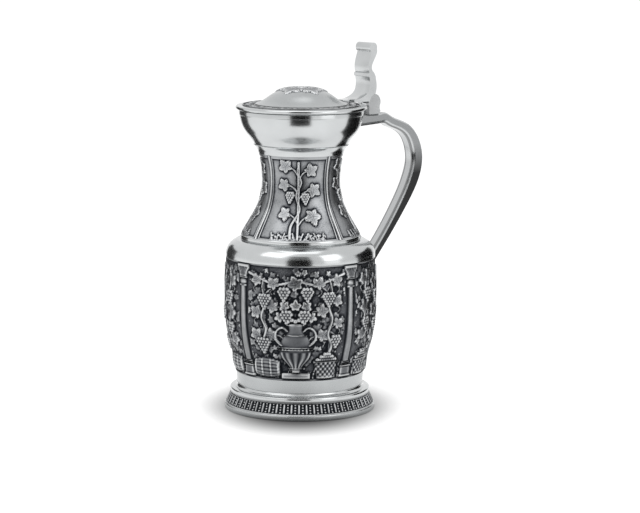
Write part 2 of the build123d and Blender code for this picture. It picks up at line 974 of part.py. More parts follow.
def hinge_lug(name, side):
    """One lug plate on the arm, with a scalloped back, on the side of Y given by side."""
    inner = knuckle_width / 2 + lug_gap
    outer = hinge_width / 2
    stem_height = hinge_z - arm_z
    with BuildPart() as lug:
        with BuildSketch(Plane.XZ.offset(-side * inner)):
            with Locations((hinge_x, hinge_z)):
                Circle(lug_radius)
            with Locations((hinge_x, arm_z)):
                Rectangle(lug_stem_width, stem_height, align=(Align.CENTER, Align.MIN))
            scallop_x = hinge_x + lug_stem_width / 2 - lug_scallop_set_in
            with Locations((scallop_x, arm_z + lug_scallop_radius)):
                Circle(lug_scallop_radius)
            with Locations((hinge_x, hinge_z)):
                Circle(pin_radius, mode=Mode.SUBTRACT)
        extrude(amount=-side * (outer - inner))
    save(lug, name)


def strap_section(depth):
    """Corners of the strap's section: a softened back and bevelled inner edges."""
    half = handle_width / 2
    side = (
        (0, half - strap_round),
        (strap_round, half),
        (depth - strap_bevel, half),
        (depth, half - strap_bevel),
    )
    return side + tuple((x, -y) for x, y in reversed(side))


def handle_lines():
    """The strap's back and inner lines from the arm's end to the foot on the drum."""
    back, inner = [(arm_end, arm_z)], [(arm_end, arm_z - arm_depth)]
    stations = [
        (handle_reach - inset, mouth_z - drop, look, depth)
        for inset, drop, look, depth in handle_stations
    ]
    foot_x = drum_belly_radius - 2 * wall
    stations.append((foot_x, mouth_z - handle_foot_drop, handle_foot_look, handle_foot_depth))
    for x, z, look, depth in stations:
        turn = math.radians(look)
        back.append((x, z))
        inner.append((x - depth * math.cos(turn), z - depth * math.sin(turn)))
    end_turn = math.radians(handle_foot_look)
    leg = (math.sin(end_turn), -math.cos(end_turn))
    with BuildLine(Plane.XZ) as lines:
        back_line = Spline(*back, tangents=((1, -0.02), leg))
        inner_line = Spline(*inner, tangents=((1, -0.02), leg))
    return back_line, inner_line


def handle():
    """Strap handle: a flat arm from the bowl, a hooked back and a straight leg to the drum."""
    back, inner = handle_lines()
    with BuildPart() as strap:
        for x, depth in ((bowl_foot_radius, arm_root_depth), (arm_end, arm_depth)):
            with BuildSketch(Plane((x, 0, arm_z), x_dir=(0, 0, -1), z_dir=(1, 0, 0))):
                with BuildLine():
                    Polyline(*strap_section(depth), close=True)
                make_face()
        loft()
        for step in range(strap_steps + 1):
            at, facing = back @ (step / strap_steps), inner @ (step / strap_steps)
            inward = facing - at
            along = inward.cross(Vector(0, -1, 0))
            with BuildSketch(Plane(at, x_dir=inward, z_dir=along)):
                with BuildLine():
                    Polyline(*strap_section(inward.length), close=True)
                make_face()
        loft()
        add(inside_of(bowl_line), mode=Mode.SUBTRACT)
        add(inside_of(drum_line, foot_pad_thickness), mode=Mode.SUBTRACT)
    save(strap, "handle")


def handle_foot():
    """Oval pad soldered on the drum, which the handle's leg ends on."""
    pad_z = mouth_z - handle_foot_drop + handle_foot_depth / 2
    with BuildPart() as pad:
        with BuildSketch(Plane.YZ):
            with Locations((0, pad_z)):
                Ellipse(foot_pad_width / 2, foot_pad_length / 2)
        extrude(amount=drum_belly_radius + 2 * foot_pad_thickness)
        add(inside_of(drum_line, foot_pad_thickness), mode=Mode.INTERSECT)
        add(inside_of(drum_line), mode=Mode.SUBTRACT)
    save(pad, "handle_foot")


foot_ring()
base_plate()
foot_ornament_band()
foot_step()
turned(
    "waist_band",
    (
        (waist_radius, waist_z),
        (drum_foot_radius, drum_z),
        (drum_foot_radius - wall, drum_z),
        (waist_radius - wall, waist_z),
    ),
)
body_drum()
shoulder()
lower_neck_collar()
neck()
upper_neck_collar()
curved_wall(bowl_line, "bowl")
bowl_rim()
lid_plate()
lid_locating_rim()
lid_ornament_ring()
lid_dome()
lid_medallion()
thumbpiece()
hinge_pin()
hinge_lug("hinge_lug_near", -1)
hinge_lug("hinge_lug_far", 1)
handle()
handle_foot()
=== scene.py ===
import math

import bmesh
import bpy
import numpy as np
from mathutils import Matrix, Vector


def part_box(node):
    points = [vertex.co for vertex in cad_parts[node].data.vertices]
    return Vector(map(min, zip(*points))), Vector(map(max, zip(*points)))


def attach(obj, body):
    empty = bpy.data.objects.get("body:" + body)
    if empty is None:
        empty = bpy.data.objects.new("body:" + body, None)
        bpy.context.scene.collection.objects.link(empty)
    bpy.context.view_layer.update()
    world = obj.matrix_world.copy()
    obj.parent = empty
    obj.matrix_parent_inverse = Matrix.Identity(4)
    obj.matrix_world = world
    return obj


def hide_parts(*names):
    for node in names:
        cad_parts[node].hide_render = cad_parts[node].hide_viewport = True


# A lidded pewter flagon. The frame holds the turned and cast pieces in metres. The relief is
# worked out here in millimetres on strips that are wrapped round the vessel's axis.

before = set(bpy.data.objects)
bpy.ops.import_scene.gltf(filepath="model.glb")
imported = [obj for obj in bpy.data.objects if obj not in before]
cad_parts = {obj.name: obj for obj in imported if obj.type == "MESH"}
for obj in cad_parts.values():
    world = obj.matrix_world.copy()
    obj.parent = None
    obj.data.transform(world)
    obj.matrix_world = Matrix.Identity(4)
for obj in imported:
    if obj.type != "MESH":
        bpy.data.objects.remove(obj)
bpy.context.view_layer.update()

MM = 0.001

# The photograph's view: 640 by 513 pixels
PHOTO_WIDTH = 640
PIXEL_MM = 0.826
FOCAL_PIXELS = 2400.0
SENSOR_MM = 36.0
VIEW_AZIMUTH = 228.0
VIEW_PITCH = 8.6
VIEW_ROLL = 0.4
AIM_HEIGHT_MM = 125.9
AXIS_OFFSET_PIXELS = 19.5

# Fineness of the meshes
TURNS = 192
FRIEZE_CELLS = (660, 146)
NECK_CELLS = (600, 150)
BORDER_REPEATS = 60
BORDER_CELLS_EACH = 14
RING_CELLS = (840, 30)
MEDALLION_CELLS = 120
RING_REPEATS = 26
INNER_ROWS = 3

# Edges sharper than these angles stay sharp, on turned pieces and on relief
TURNED_SHARP = 35.0
RELIEF_SHARP = 75.0

# The patina: blurs that tell fine and broad high spots, and the wear of plain backs
FINE_BLUR = 6
BROAD_BLUR = 40
PLAIN_RUB = 0.3

ON_AXIS_MM = 1e-6
MERGE_DISTANCE = 1e-7


def corners(node):
    """A node's lowest and highest corners, in millimetres."""
    low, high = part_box(node)
    return np.array(low) / MM, np.array(high) / MM


def reach(node):
    """A turned node's greatest radius, in millimetres."""
    low, high = corners(node)
    return (high[1] - low[1]) / 2


def heights(node):
    """A node's lowest and highest point, in millimetres."""
    low, high = corners(node)
    return low[2], high[2]


def cubic(points, count):
    """count points on a natural cubic curve through the points, even along its chords."""
    points = np.array(points, float)
    chord = np.concatenate([[0], np.cumsum(np.linalg.norm(np.diff(points, axis=0), axis=1))])
    n = len(points)
    matrix, right = np.eye(n), np.zeros((n, 2))
    for k in range(1, n - 1):
        before, after = chord[k] - chord[k - 1], chord[k + 1] - chord[k]
        matrix[k, k - 1 : k + 2] = before, 2 * (before + after), after
        slope_after = (points[k + 1] - points[k]) / after
        slope_before = (points[k] - points[k - 1]) / before
        right[k] = 6 * (slope_after - slope_before)
    bend = np.linalg.solve(matrix, right)
    at = np.linspace(0, chord[-1], count)
    k = np.clip(np.searchsorted(chord, at, side="right") - 1, 0, n - 2)
    step = chord[k + 1] - chord[k]
    a = ((chord[k + 1] - at) / step)[:, None]
    b = ((at - chord[k]) / step)[:, None]
    lift = (a**3 - a) * bend[k] + (b**3 - b) * bend[k + 1]
    return a * points[k] + b * points[k + 1] + lift * (step**2)[:, None] / 6


def arc(centre, wide, tall, start, end, count=9):
    """Points on an oval arc in the section plane, from start to end degrees."""
    turn = np.radians(np.linspace(start, end, count))
    return np.stack([centre[0] + wide * np.cos(turn), centre[1] + tall * np.sin(turn)], axis=-1)


def smooth_step(x):
    """0 below 0, 1 above 1 and an even rise between."""
    x = np.clip(x, 0, 1)
    return x * x * (3 - 2 * x)


def add_object(name, data):
    """A new object in the scene."""
    piece = bpy.data.objects.new(name, data)
    bpy.context.collection.objects.link(piece)
    return piece


def mesh_object(name, points, faces, rub=None):
    """A smooth-shaded object from millimetre points. rub says how worn each point's relief is."""
    mesh = bpy.data.meshes.new(name)
    mesh.from_pydata([tuple(point) for point in points.reshape(-1, 3) * MM], [], faces)
    mesh.validate()
    mesh.shade_smooth()
    sharp = TURNED_SHARP if rub is None else RELIEF_SHARP
    mesh.set_sharp_from_angle(angle=math.radians(sharp))
    if rub is not None:
        layer = mesh.attributes.new("rub", "FLOAT", "POINT")
        layer.data.foreach_set("value", np.asarray(rub, np.float32))
    return add_object(name, mesh)


def grid_faces(columns, rows, first=0, wrap=True):
    """Quads of a grid of rows of columns points, wrapped round in its columns."""
    faces = []
    last = columns if wrap else columns - 1
    for row in range(rows - 1):
        base = first + row * columns
        above = base + columns
        for column in range(last):
            beside = (column + 1) % columns
            faces.append((base + column, base + beside, above + beside, above + column))
    return faces


def tube_faces(columns, rows):
    """Quads of a grid wrapped round both ways, its last row joined to its first."""
    last = (rows - 1) * columns
    faces = grid_faces(columns, rows)
    return faces + [(last + k, last + (k + 1) % columns, (k + 1) % columns, k) for k in range(columns)]


def wrapped(radius, height, turn):
    """Points at a radius and height round the axis."""
    places = np.broadcast_arrays(radius * np.cos(turn), radius * np.sin(turn), height)
    return np.stack(places, axis=-1)


def lathe(name, outline):
    """A turned solid from a closed outline (radius, height), walked anticlockwise."""
    outline = np.asarray(outline, float)
    count = len(outline)
    turn = np.linspace(0, 2 * np.pi, TURNS, endpoint=False)
    faces = []
    for k in range(TURNS):
        beside = (k + 1) % TURNS
        for j in range(count):
            up = (j + 1) % count
            if max(outline[j, 0], outline[up, 0]) >= ON_AXIS_MM:
                faces.append((k * count + j, beside * count + j, beside * count + up, k * count + up))
    piece = mesh_object(name, wrapped(outline[:, 0], outline[:, 1], turn[:, None]), faces)
    tidy = bmesh.new()
    tidy.from_mesh(piece.data)
    bmesh.ops.remove_doubles(tidy, verts=tidy.verts, dist=MERGE_DISTANCE)
    tidy.to_mesh(piece.data)
    tidy.free()
    return piece


class Relief:
    """Heights in millimetres over a strip, wrapped in u, with shapes raised out of it."""

    def __init__(self, width, tall, columns, rows, stretch=None):
        self.width = width
        self.tall = tall
        self.u, self.v = np.meshgrid(
            np.arange(columns) * width / columns, np.linspace(0, tall, rows)
        )
        self.stretch = np.ones(rows) if stretch is None else stretch
        self.h = np.zeros_like(self.u)

    def near(self, cu, cv, size, turn=0.0):
        """The cells within size of a point, and their places from it, turned by turn degrees."""
        du = (self.u - cu + self.width / 2) % self.width - self.width / 2
        du = du * self.stretch[:, None]
        dv = self.v - cv
        cells = (np.abs(du) <= size) & (np.abs(dv) <= size)
        x, y = du[cells], dv[cells]
        c, s = math.cos(math.radians(turn)), math.sin(math.radians(turn))
        return cells, x * c + y * s, y * c - x * s

    def lift(self, cells, height, base=0.0):
        """Raises cells to base plus height wherever height is above nothing."""
        now = self.h[cells]
        self.h[cells] = np.where(height > 0.001, np.maximum(now, base + height), now)

    def bump(self, cu, cv, wide, tall, height, turn=0.0, base=0.0, power=0.5):
        """An oval mound with half sizes wide and tall."""
        cells, x, y = self.near(cu, cv, max(wide, tall), turn)
        far = (x / wide) ** 2 + (y / tall) ** 2
        self.lift(cells, height * np.maximum(1 - far, 0) ** power, base)

    def slab(self, cu, cv, wide, tall, height, edge):
        """A flat-topped block with half sizes wide and tall and softened edges."""
        cells, x, y = self.near(cu, cv, math.hypot(wide, tall))
        inside = np.minimum(wide - np.abs(x), tall - np.abs(y))
        self.lift(cells, height * smooth_step(inside / edge))

    def stem(self, points, thick, height):
        """A rounded stem along a path of (u, v) points, tapering from thick[0] to thick[1]."""
        path = np.array(points, float)
        if len(path) > 2:
            path = cubic(path, 6 * len(path))
        count = len(path) - 1
        for k in range(count):
            (au, av), (bu, bv) = path[k], path[k + 1]
            share = k / max(count - 1, 1)
            half = thick[0] + (thick[1] - thick[0]) * share
            span = math.hypot(bu - au, bv - av)
            cells, x, y = self.near(au, av, span + half)
            du, dv = bu - au, bv - av
            along = np.clip((x * du + y * dv) / max(span**2, 1e-9), 0, 1)
            off = np.hypot(x - along * du, y - along * dv) / half
            self.lift(cells, height * np.sqrt(np.maximum(1 - off**2, 0)))

    def leaf(self, cu, cv, size, turn, height, base=0.0):
        """A five-lobed vine leaf, size from its middle to its tip, pointing along turn degrees."""
        cells, x, y = self.near(cu, cv, size * 1.1, turn)
        angle, far = np.arctan2(y, x), np.hypot(x, y)
        edge = np.zeros_like(far)
        for ray, long in ((0, 1.0), (72, 0.92), (-72, 0.92), (140, 0.74), (-140, 0.74)):
            off = np.abs((angle - math.radians(ray) + np.pi) % (2 * np.pi) - np.pi)
            edge = np.maximum(edge, size * long * (1 - 0.42 * off / math.radians(36)))
        edge *= 1 + 0.045 * np.cos(27 * angle)
        inside = 1 - far / np.maximum(edge, 0.01)
        body = height * smooth_step(inside / 0.12) * (1 - 0.25 * far / size)
        vein = np.full_like(far, 9.0)
        for ray in np.radians((0, 72, -72, 144, -144)):
            off = np.abs(far * np.sin(angle - ray))
            vein = np.minimum(vein, np.where(np.cos(angle - ray) > 0, off, 9.0))
        groove = 0.34 * height * np.exp(-((vein / (0.035 * size + 0.14)) ** 2))
        fold = 0.16 * height * np.cos(vein / size * 16)
        self.lift(cells, np.where(inside > 0, body - groove + fold * smooth_step(inside / 0.3), 0), base)

    def grapes(self, cu, cv, across, berry, height, base, turn=0.0):
        """A hanging bunch, across berries wide at its top, tapering to one below."""
        c, s = math.cos(math.radians(turn)), math.sin(math.radians(turn))
        rows = list(range(across - 1, across + 1)) + list(range(across - 1, 0, -1))
        for row, count in enumerate(rows):
            for k in range(count):
                x = (k - (count - 1) / 2) * berry * 1.75
                y = -row * berry * 1.5
                crown = 0.5 * math.cos(0.5 * math.pi * x / (across * berry * 1.1))
                spot = cu + x * c - y * s, cv + x * s + y * c
                self.bump(*spot, berry, berry, height, base=base + crown)

    def clear(self, cu, half, soft):
        """Levels the strip from foot to top, half to either side of a place."""
        cells, x, _ = self.near(cu, self.tall / 2, self.tall)
        self.h[cells] *= smooth_step((np.abs(x) - half) / soft)

    def borders(self, low, high, soft):
        """1 within low of the strip's foot and high of its top, 0 between."""
        foot = smooth_step((low - self.v) / soft)
        return np.maximum(foot, smooth_step((self.v - self.tall + high) / soft))

    def softened(self, cells):
        """The heights blurred over a number of cells."""
        soft = self.h.copy()
        for _ in range(cells):
            soft = (np.roll(soft, 1, 1) + soft * 2 + np.roll(soft, -1, 1)) / 4
            up = np.vstack([soft[1:], soft[-1:]])
            down = np.vstack([soft[:1], soft[:-1]])
            soft = (up + soft * 2 + down) / 4
        return soft

    def rub(self, top):
        """0 in recesses that stay dark to 1 on high spots that are rubbed bright."""
        local = (self.h - self.softened(FINE_BLUR)) / (0.16 * top)
        wide = (self.h - self.softened(BROAD_BLUR)) / (0.45 * top)
        return np.clip(0.42 + 0.42 * local + 0.34 * wide, 0, 1)


def relief_object(name, points, faces, relief, top):
    """A piece whose first points are the relief's cells and whose other points are plain."""
    rub = relief.rub(top).ravel()
    plain = np.full(points.size // 3 - rub.size, PLAIN_RUB)
    return mesh_object(name, points, faces, np.concatenate([rub, plain]))


def relief_wall(name, line, wall, relief, top):
    """A closed turned wall whose outside carries a relief. line holds one (r, z) a row."""
    rows, columns = relief.h.shape
    turn = np.linspace(0, 2 * np.pi, columns, endpoint=False)
    inside = line[np.linspace(rows - 1, 0, INNER_ROWS).round().astype(int)]
    outer = wrapped(line[:, :1] + relief.h, line[:, 1:], turn)
    inner = wrapped(inside[:, :1] - wall, inside[:, 1:], turn)
    faces = tube_faces(columns, rows + INNER_ROWS)
    return relief_object(name, np.concatenate([outer, inner]), faces, relief, top)


def dress(piece, node, body, material):
    """Stands a piece for a node, on its body and with its material."""
    piece.data.materials.clear()
    piece.data.materials.append(material)
    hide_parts(node)
    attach(piece, body)


class Nodes:
    """Builds the node tree of a material or a world."""

    def __init__(self, owner, shader="Principled BSDF"):
        owner.use_nodes = True
        self.owner = owner
        self.tree = owner.node_tree
        self.shader = self.tree.nodes[shader]

    def feed(self, node, inputs):
        """Gives a node's inputs, by name or place, a value or another node's output."""
        for key, value in inputs.items():
            if isinstance(value, bpy.types.NodeSocket):
                self.tree.links.new(value, node.inputs[key])
            else:
                node.inputs[key].default_value = value

    def add(self, kind, inputs, **settings):
        node = self.tree.nodes.new(kind)
        for key, value in settings.items():
            setattr(node, key, value)
        self.feed(node, inputs)
        return node

    def maths(self, operation, *values, clamp=False):
        inputs = dict(enumerate(values))
        return self.add("ShaderNodeMath", inputs, operation=operation, use_clamp=clamp).outputs[0]

    def noise(self, scale, detail, vector=None, roughness=0.5):
        vector = self.place() if vector is None else vector
        inputs = {"Scale": scale, "Detail": detail, "Roughness": roughness, "Vector": vector}
        return self.add("ShaderNodeTexNoise", inputs).outputs["Fac"]

    def place(self):
        return self.add("ShaderNodeTexCoord", {}).outputs["Object"]

    def place_parts(self):
        """The place's x, y and z."""
        return self.add("ShaderNodeSeparateXYZ", {0: self.place()}).outputs

    def ramp(self, value, stops):
        """Colours that follow a value from 0 to 1 through the stops."""
        node = self.add("ShaderNodeValToRGB", {"Fac": value})
        points = node.color_ramp.elements
        for point, (at, colour) in ((points[0], stops[0]), (points[1], stops[-1])):
            point.position = at
            point.color = (*colour, 1)
        for at, colour in stops[1:-1]:
            points.new(at).color = (*colour, 1)
        return node.outputs["Color"]

    def spread(self, value, low, high):
        """value from 0 to 1 carried to low to high."""
        inputs = {"Value": value, "To Min": low, "To Max": high}
        return self.add("ShaderNodeMapRange", inputs).outputs["Result"]

    def bump(self, height, distance, strength):
        inputs = {"Strength": strength, "Distance": distance, "Height": height}
        return self.add("ShaderNodeBump", inputs).outputs["Normal"]

    def lathe_lines(self, fine):
        """Coordinates in which a noise runs in fine rings round the vessel's axis."""
        x, y, z = self.place_parts()
        square = self.maths("ADD", self.maths("POWER", x, 2.0), self.maths("POWER", y, 2.0))
        radius = self.maths("SQRT", square)
        across = self.maths("ADD", self.maths("MULTIPLY", radius, 0.8), z)
        inputs = {
            "X": self.maths("DIVIDE", x, radius),
            "Y": self.maths("DIVIDE", y, radius),
            "Z": self.maths("MULTIPLY", across, fine),
        }
        return self.add("ShaderNodeCombineXYZ", inputs).outputs[0]

    def white_to_rays(self, low, high):
        """low for diffuse rays and high for rays that show the background."""
        rays = self.add("ShaderNodeLightPath", {}).outputs
        shown = self.maths("MAXIMUM", rays["Is Camera Ray"], rays["Is Glossy Ray"])
        return self.spread(self.maths("MAXIMUM", shown, rays["Is Transmission Ray"]), low, high)

    def metal(self, colour, roughness, normal):
        """Gives the shader a metal's look."""
        look = {"Metallic": 1.0, "Base Color": colour, "Roughness": roughness, "Normal": normal}
        self.feed(self.shader, look)
        return self.owner


def turned_pewter(name, colour, rough_low, rough_high):
    """Pewter turned on a lathe: fine rings, faint clouds of tarnish, uneven polish."""
    nodes = Nodes(bpy.data.materials.new(name))
    clouds = nodes.noise(28.0, 5.0)
    rings = nodes.noise(1.0, 3.0, nodes.lathe_lines(2600.0))
    dark = [0.86 * c for c in colour]
    tone = nodes.ramp(clouds, ((0.3, dark), (0.7, colour)))
    mix = nodes.maths("ADD", nodes.maths("MULTIPLY", clouds, 0.6), nodes.maths("MULTIPLY", rings, 0.4))
    return nodes.metal(tone, nodes.spread(mix, rough_low, rough_high), nodes.bump(rings, 0.00002, 0.35))


def cast_pewter(name, colour, rough_low, rough_high):
    """Satin cast pewter: fine pitting and slow changes of polish."""
    nodes = Nodes(bpy.data.materials.new(name))
    clouds = nodes.noise(45.0, 5.0)
    pits = nodes.bump(nodes.noise(1500.0, 3.0), 0.00004, 0.4)
    dark = [0.8 * c for c in colour]
    tone = nodes.ramp(clouds, ((0.3, dark), (0.72, colour)))
    return nodes.metal(tone, nodes.spread(clouds, rough_high, rough_low), pits)


def painted_reflection_strap_pewter(name, painted_reflection_bands, painted_shade_top):
    """Cast pewter: bright and dark painted reflection bands on a strap, painted shade low on its sides."""
    nodes = Nodes(bpy.data.materials.new(name))
    _, y, z = nodes.place_parts()
    widest = painted_reflection_bands[-1][0] + 0.2
    across = nodes.maths("DIVIDE", nodes.maths("ABSOLUTE", y), widest * MM)
    # The bands' shades are painted reflections; the darkest, at the side, is painted shade
    dark = [(at / widest, (0.97 * shade, 0.99 * shade, shade)) for at, shade in painted_reflection_bands]
    plain = [(at, colour if colour[0] > 0.1 else PLAIN_SIDE) for at, colour in dark]
    # Below the given height the strap's sides carry painted shade
    painted_shade_fade = nodes.maths("MULTIPLY", nodes.maths("SUBTRACT", painted_shade_top, z), 40.0, clamp=True)
    # A mix node's colours are its inputs 6 and 7, and their mix is its output 2
    inputs = {0: painted_shade_fade, 6: nodes.ramp(across, plain), 7: nodes.ramp(across, dark)}
    tone = nodes.add("ShaderNodeMix", inputs, data_type="RGBA").outputs[2]
    pits = nodes.bump(nodes.noise(1500.0, 3.0), 0.00003, 0.4)
    return nodes.metal(tone, nodes.spread(nodes.noise(60.0, 4.0), 0.16, 0.26), pits)


def antiqued_pewter(name, stops, rough_low, rough_high):
    """Relief with a dark patina in its recesses, rubbed bright on its high spots."""
    nodes = Nodes(bpy.data.materials.new(name))
    height = nodes.add("ShaderNodeAttribute", {}, attribute_name="rub").outputs["Fac"]
    patches = nodes.noise(90.0, 6.0, roughness=0.65)
    grain = nodes.noise(1300.0, 3.0)
    drift = nodes.maths("MULTIPLY", nodes.maths("SUBTRACT", patches, 0.5), 0.3)
    speck = nodes.maths("MULTIPLY", nodes.maths("SUBTRACT", grain, 0.5), 0.12)
    worn = nodes.maths("ADD", height, nodes.maths("ADD", drift, speck), clamp=True)
    roughness = nodes.spread(worn, rough_high, rough_low)
    return nodes.metal(nodes.ramp(worn, stops), roughness, nodes.bump(grain, 0.00006, 0.5))


# Painted reflection bands: how light the strap is painted from the middle of its width to its
# side, in millimetres, and the colour of its sides above the height below which they carry
# painted shade
STRAP_PAINTED_REFLECTION_BANDS = ((0, 0.52), (2.6, 0.52), (3.1, 0.26), (5, 0.24), (5.4, 0.6), (6.25, 0.5), (6.45, 0.035))
PLAIN_SIDE = (0.3, 0.308, 0.313)
POLISHED = turned_pewter("polished_pewter", (0.57, 0.585, 0.59), 0.13, 0.21)
SATIN_TURNED = turned_pewter("satin_turned_pewter", (0.47, 0.485, 0.49), 0.22, 0.3)
SATIN = cast_pewter("satin_pewter", (0.5, 0.51, 0.515), 0.22, 0.34)
BRIGHT_CAST = cast_pewter("bright_cast_pewter", (0.6, 0.615, 0.62), 0.1, 0.18)
PAINTED_REFLECTION_STRAP = painted_reflection_strap_pewter("painted_reflection_strap_pewter", STRAP_PAINTED_REFLECTION_BANDS, 0.212)
DRUM_STOPS = (
    (0.1, (0.012, 0.014, 0.017)), (0.32, (0.06, 0.063, 0.07)), (0.5, (0.13, 0.135, 0.143)),
    (0.74, (0.25, 0.257, 0.265)), (0.98, (0.52, 0.53, 0.535)),
)
NECK_STOPS = (
    (0.1, (0.012, 0.014, 0.018)), (0.3, (0.12, 0.125, 0.135)), (0.42, (0.33, 0.34, 0.35)),
    (0.66, (0.36, 0.37, 0.38)), (0.97, (0.56, 0.57, 0.575)),
)
ANTIQUED = antiqued_pewter("antiqued_pewter", DRUM_STOPS, 0.28, 0.55)
ANTIQUED_NECK = antiqued_pewter("antiqued_neck_pewter", NECK_STOPS, 0.24, 0.4)


def direction(azimuth, elevation):
    """The unit vector towards an azimuth and elevation."""
    a, e = math.radians(azimuth), math.radians(elevation)
    return Vector((math.cos(a) * math.cos(e), math.sin(a) * math.cos(e), math.sin(e)))


def place_camera():
    """The camera at the photograph's angle, distance and framing."""
    azimuth = math.radians(VIEW_AZIMUTH)
    towards = direction(VIEW_AZIMUTH, VIEW_PITCH)
    side = Vector((-math.sin(azimuth), math.cos(azimuth), 0))
    aim = Vector((0, 0, AIM_HEIGHT_MM * MM)) + side * AXIS_OFFSET_PIXELS * PIXEL_MM * MM
    data = bpy.data.cameras.new("camera")
    data.sensor_width = SENSOR_MM
    data.lens = SENSOR_MM * FOCAL_PIXELS / PHOTO_WIDTH
    camera = add_object("camera", data)
    roll = Matrix.Rotation(math.radians(VIEW_ROLL), 4, "Z").to_quaternion()
    camera.rotation_mode = "QUATERNION"
    camera.rotation_quaternion = towards.to_track_quat("Z", "Y") @ roll
    camera.location = aim + towards * FOCAL_PIXELS * PIXEL_MM * MM
    bpy.context.scene.camera = camera


def sheet(name, points, material):
    """A flat piece of the studio with four corners."""
    mesh = bpy.data.meshes.new(name)
    mesh.from_pydata(points, [], [(0, 1, 2, 3)])
    mesh.materials.append(material)
    return add_object(name, mesh)


def around(azimuth, distance, height):
    """A point at an azimuth from the object's axis."""
    turn = math.radians(azimuth)
    return Vector((math.cos(turn) * distance, math.sin(turn) * distance, height))


def card(name, azimuth, half_angle, near, far, shade):
    """A studio card that only reflections see. near and far are its edges' distance and height."""
    nodes = Nodes(bpy.data.materials.new(name))
    look = {"Base Color": (0, 0, 0, 1), "Roughness": 1.0, "Specular IOR Level": 0.0}
    look |= {"Emission Color": (shade, shade, shade, 1), "Emission Strength": 1.0}
    nodes.feed(nodes.shader, look)
    left, right = azimuth - half_angle, azimuth + half_angle
    spots = ((left, near), (right, near), (right, far), (left, far))
    piece = sheet(name, [around(side, *edge) for side, edge in spots], nodes.owner)
    piece.visible_camera = False
    piece.visible_shadow = False
    piece.visible_diffuse = False


def upright_card(name, azimuth, half_angle, distance, low, high, shade):
    """A card that stands, its middle at a distance."""
    far = distance / math.cos(math.radians(half_angle))
    card(name, azimuth, half_angle, (far, low), (far, high), shade)


def lamp(name, azimuth, elevation, distance, size, power):
    """A square soft light that faces the object."""
    towards = direction(azimuth, elevation)
    data = bpy.data.lights.new(name, "AREA")
    data.size = size
    data.energy = power
    light = add_object(name, data)
    light.location = Vector((0, 0, LAMP_AIM_HEIGHT)) + towards * distance
    light.rotation_euler = towards.to_track_quat("Z", "Y").to_euler()


# The studio in metres: the floor's half size, where the painted shadow round the foot starts
# and ends, how much narrower it is across the view, and the floor's tones and glow; the tones
# run from the painted shadow's grey to white
FLOOR_SIZE = 14.0
PAINTED_SHADOW_START = 0.055
PAINTED_SHADOW_END = 0.14
PAINTED_SHADOW_NARROWING = (1.0, 1.5, 1.0)
FLOOR_PAINTED_SHADOW_TONES = (0.13, 0.95)
FLOOR_GLOW = 0.35
LAMP_AIM_HEIGHT = 0.14
FLOOR_CARD_HEIGHT = 0.002
WHITE = (1, 1, 1, 1)

# Cards that stand with a sheet on the floor before them: turn from the view, half angle,
# distance, where the sheet starts, height and shade
CARDS = {
    "front": (-1, 19, 3.2, 0.42, 1.85, 0.012),
    "right": (122, 25, 2.2, 0.3, 1.0, 0.01),
    "left": (-137, 18, 2.4, 0.35, 0.9, 0.06),
}
SHEET_OVERLAP = 0.1


def floor():
    """A wide white floor that keeps the object's shadow, and a painted shadow round its foot."""
    nodes = Nodes(bpy.data.materials.new("floor"))
    # Painted shadow: the floor's colour and glow fade from grey round the foot to white further out
    inputs = {"Vector": nodes.place(), "Rotation": (0, 0, math.radians(-VIEW_AZIMUTH))}
    place = nodes.add("ShaderNodeMapping", inputs).outputs[0]
    inputs = {0: place, 1: PAINTED_SHADOW_NARROWING}
    place = nodes.add("ShaderNodeVectorMath", inputs, operation="MULTIPLY").outputs["Vector"]
    far = nodes.add("ShaderNodeVectorMath", {0: place}, operation="LENGTH").outputs["Value"]
    inputs = {"Value": far, "From Min": PAINTED_SHADOW_START, "From Max": PAINTED_SHADOW_END}
    painted_shade_fade = nodes.add("ShaderNodeMapRange", inputs, interpolation_type="SMOOTHSTEP").outputs["Result"]
    painted_shadow_grey = nodes.spread(painted_shade_fade, *FLOOR_PAINTED_SHADOW_TONES)
    look = {
        "Base Color": nodes.add("ShaderNodeCombineColor", {0: painted_shadow_grey, 1: painted_shadow_grey, 2: painted_shadow_grey}).outputs[0],
        "Roughness": 0.9,
        "Specular IOR Level": 0.0,
        "Emission Color": WHITE,
        "Emission Strength": nodes.maths("MULTIPLY", nodes.white_to_rays(0.0, FLOOR_GLOW), painted_shade_fade),
    }
    nodes.feed(nodes.shader, look)
    corner_points = [(FLOOR_SIZE * x, FLOOR_SIZE * y, 0) for x, y in ((-1, -1), (1, -1), (1, 1), (-1, 1))]
    sheet("floor", corner_points, nodes.owner)


def studio():
    """White floor and world, soft lamps, and dark cards for the polished metal to reflect."""
    floor()
    world = bpy.data.worlds.new("studio")
    nodes = Nodes(world, "Background")
    nodes.feed(nodes.shader, {"Color": WHITE, "Strength": nodes.white_to_rays(0.75, 1.0)})
    bpy.context.scene.world = world
    lamp("key", VIEW_AZIMUTH - 50, 50, 2.2, 1.4, 6.4)
    lamp("fill", VIEW_AZIMUTH + 55, 35, 2.4, 1.2, 5.0)
    lamp("top", VIEW_AZIMUTH + 10, 85, 2.0, 1.2, 4.4)
    for name, (turn, half, distance, near, tall, shade) in CARDS.items():
        azimuth = VIEW_AZIMUTH + turn
        upright_card(f"{name}_card", azimuth, half, distance, 0.0, tall, shade)
        edges = (near, FLOOR_CARD_HEIGHT), (distance + SHEET_OVERLAP, FLOOR_CARD_HEIGHT)
        card(f"{name}_floor_card", azimuth, half, *edges, shade)
    upright_card("front_high_card", VIEW_AZIMUTH - 1, 17, 3.2, 1.87, 3.4, 0.25)
    upright_card("bright_card", VIEW_AZIMUTH + 50, 13, 2.8, 0.0, 2.2, 1.6)
    bpy.context.scene.view_settings.view_transform = "Standard"


def shares_line(shares, foot, top, low, high, count):
    """Points up a line given as (share of height, share of the way from foot to top radius)."""
    points = [(foot + out * (top - foot), low + up * (high - low)) for up, out in shares]
    return cubic(points, count)


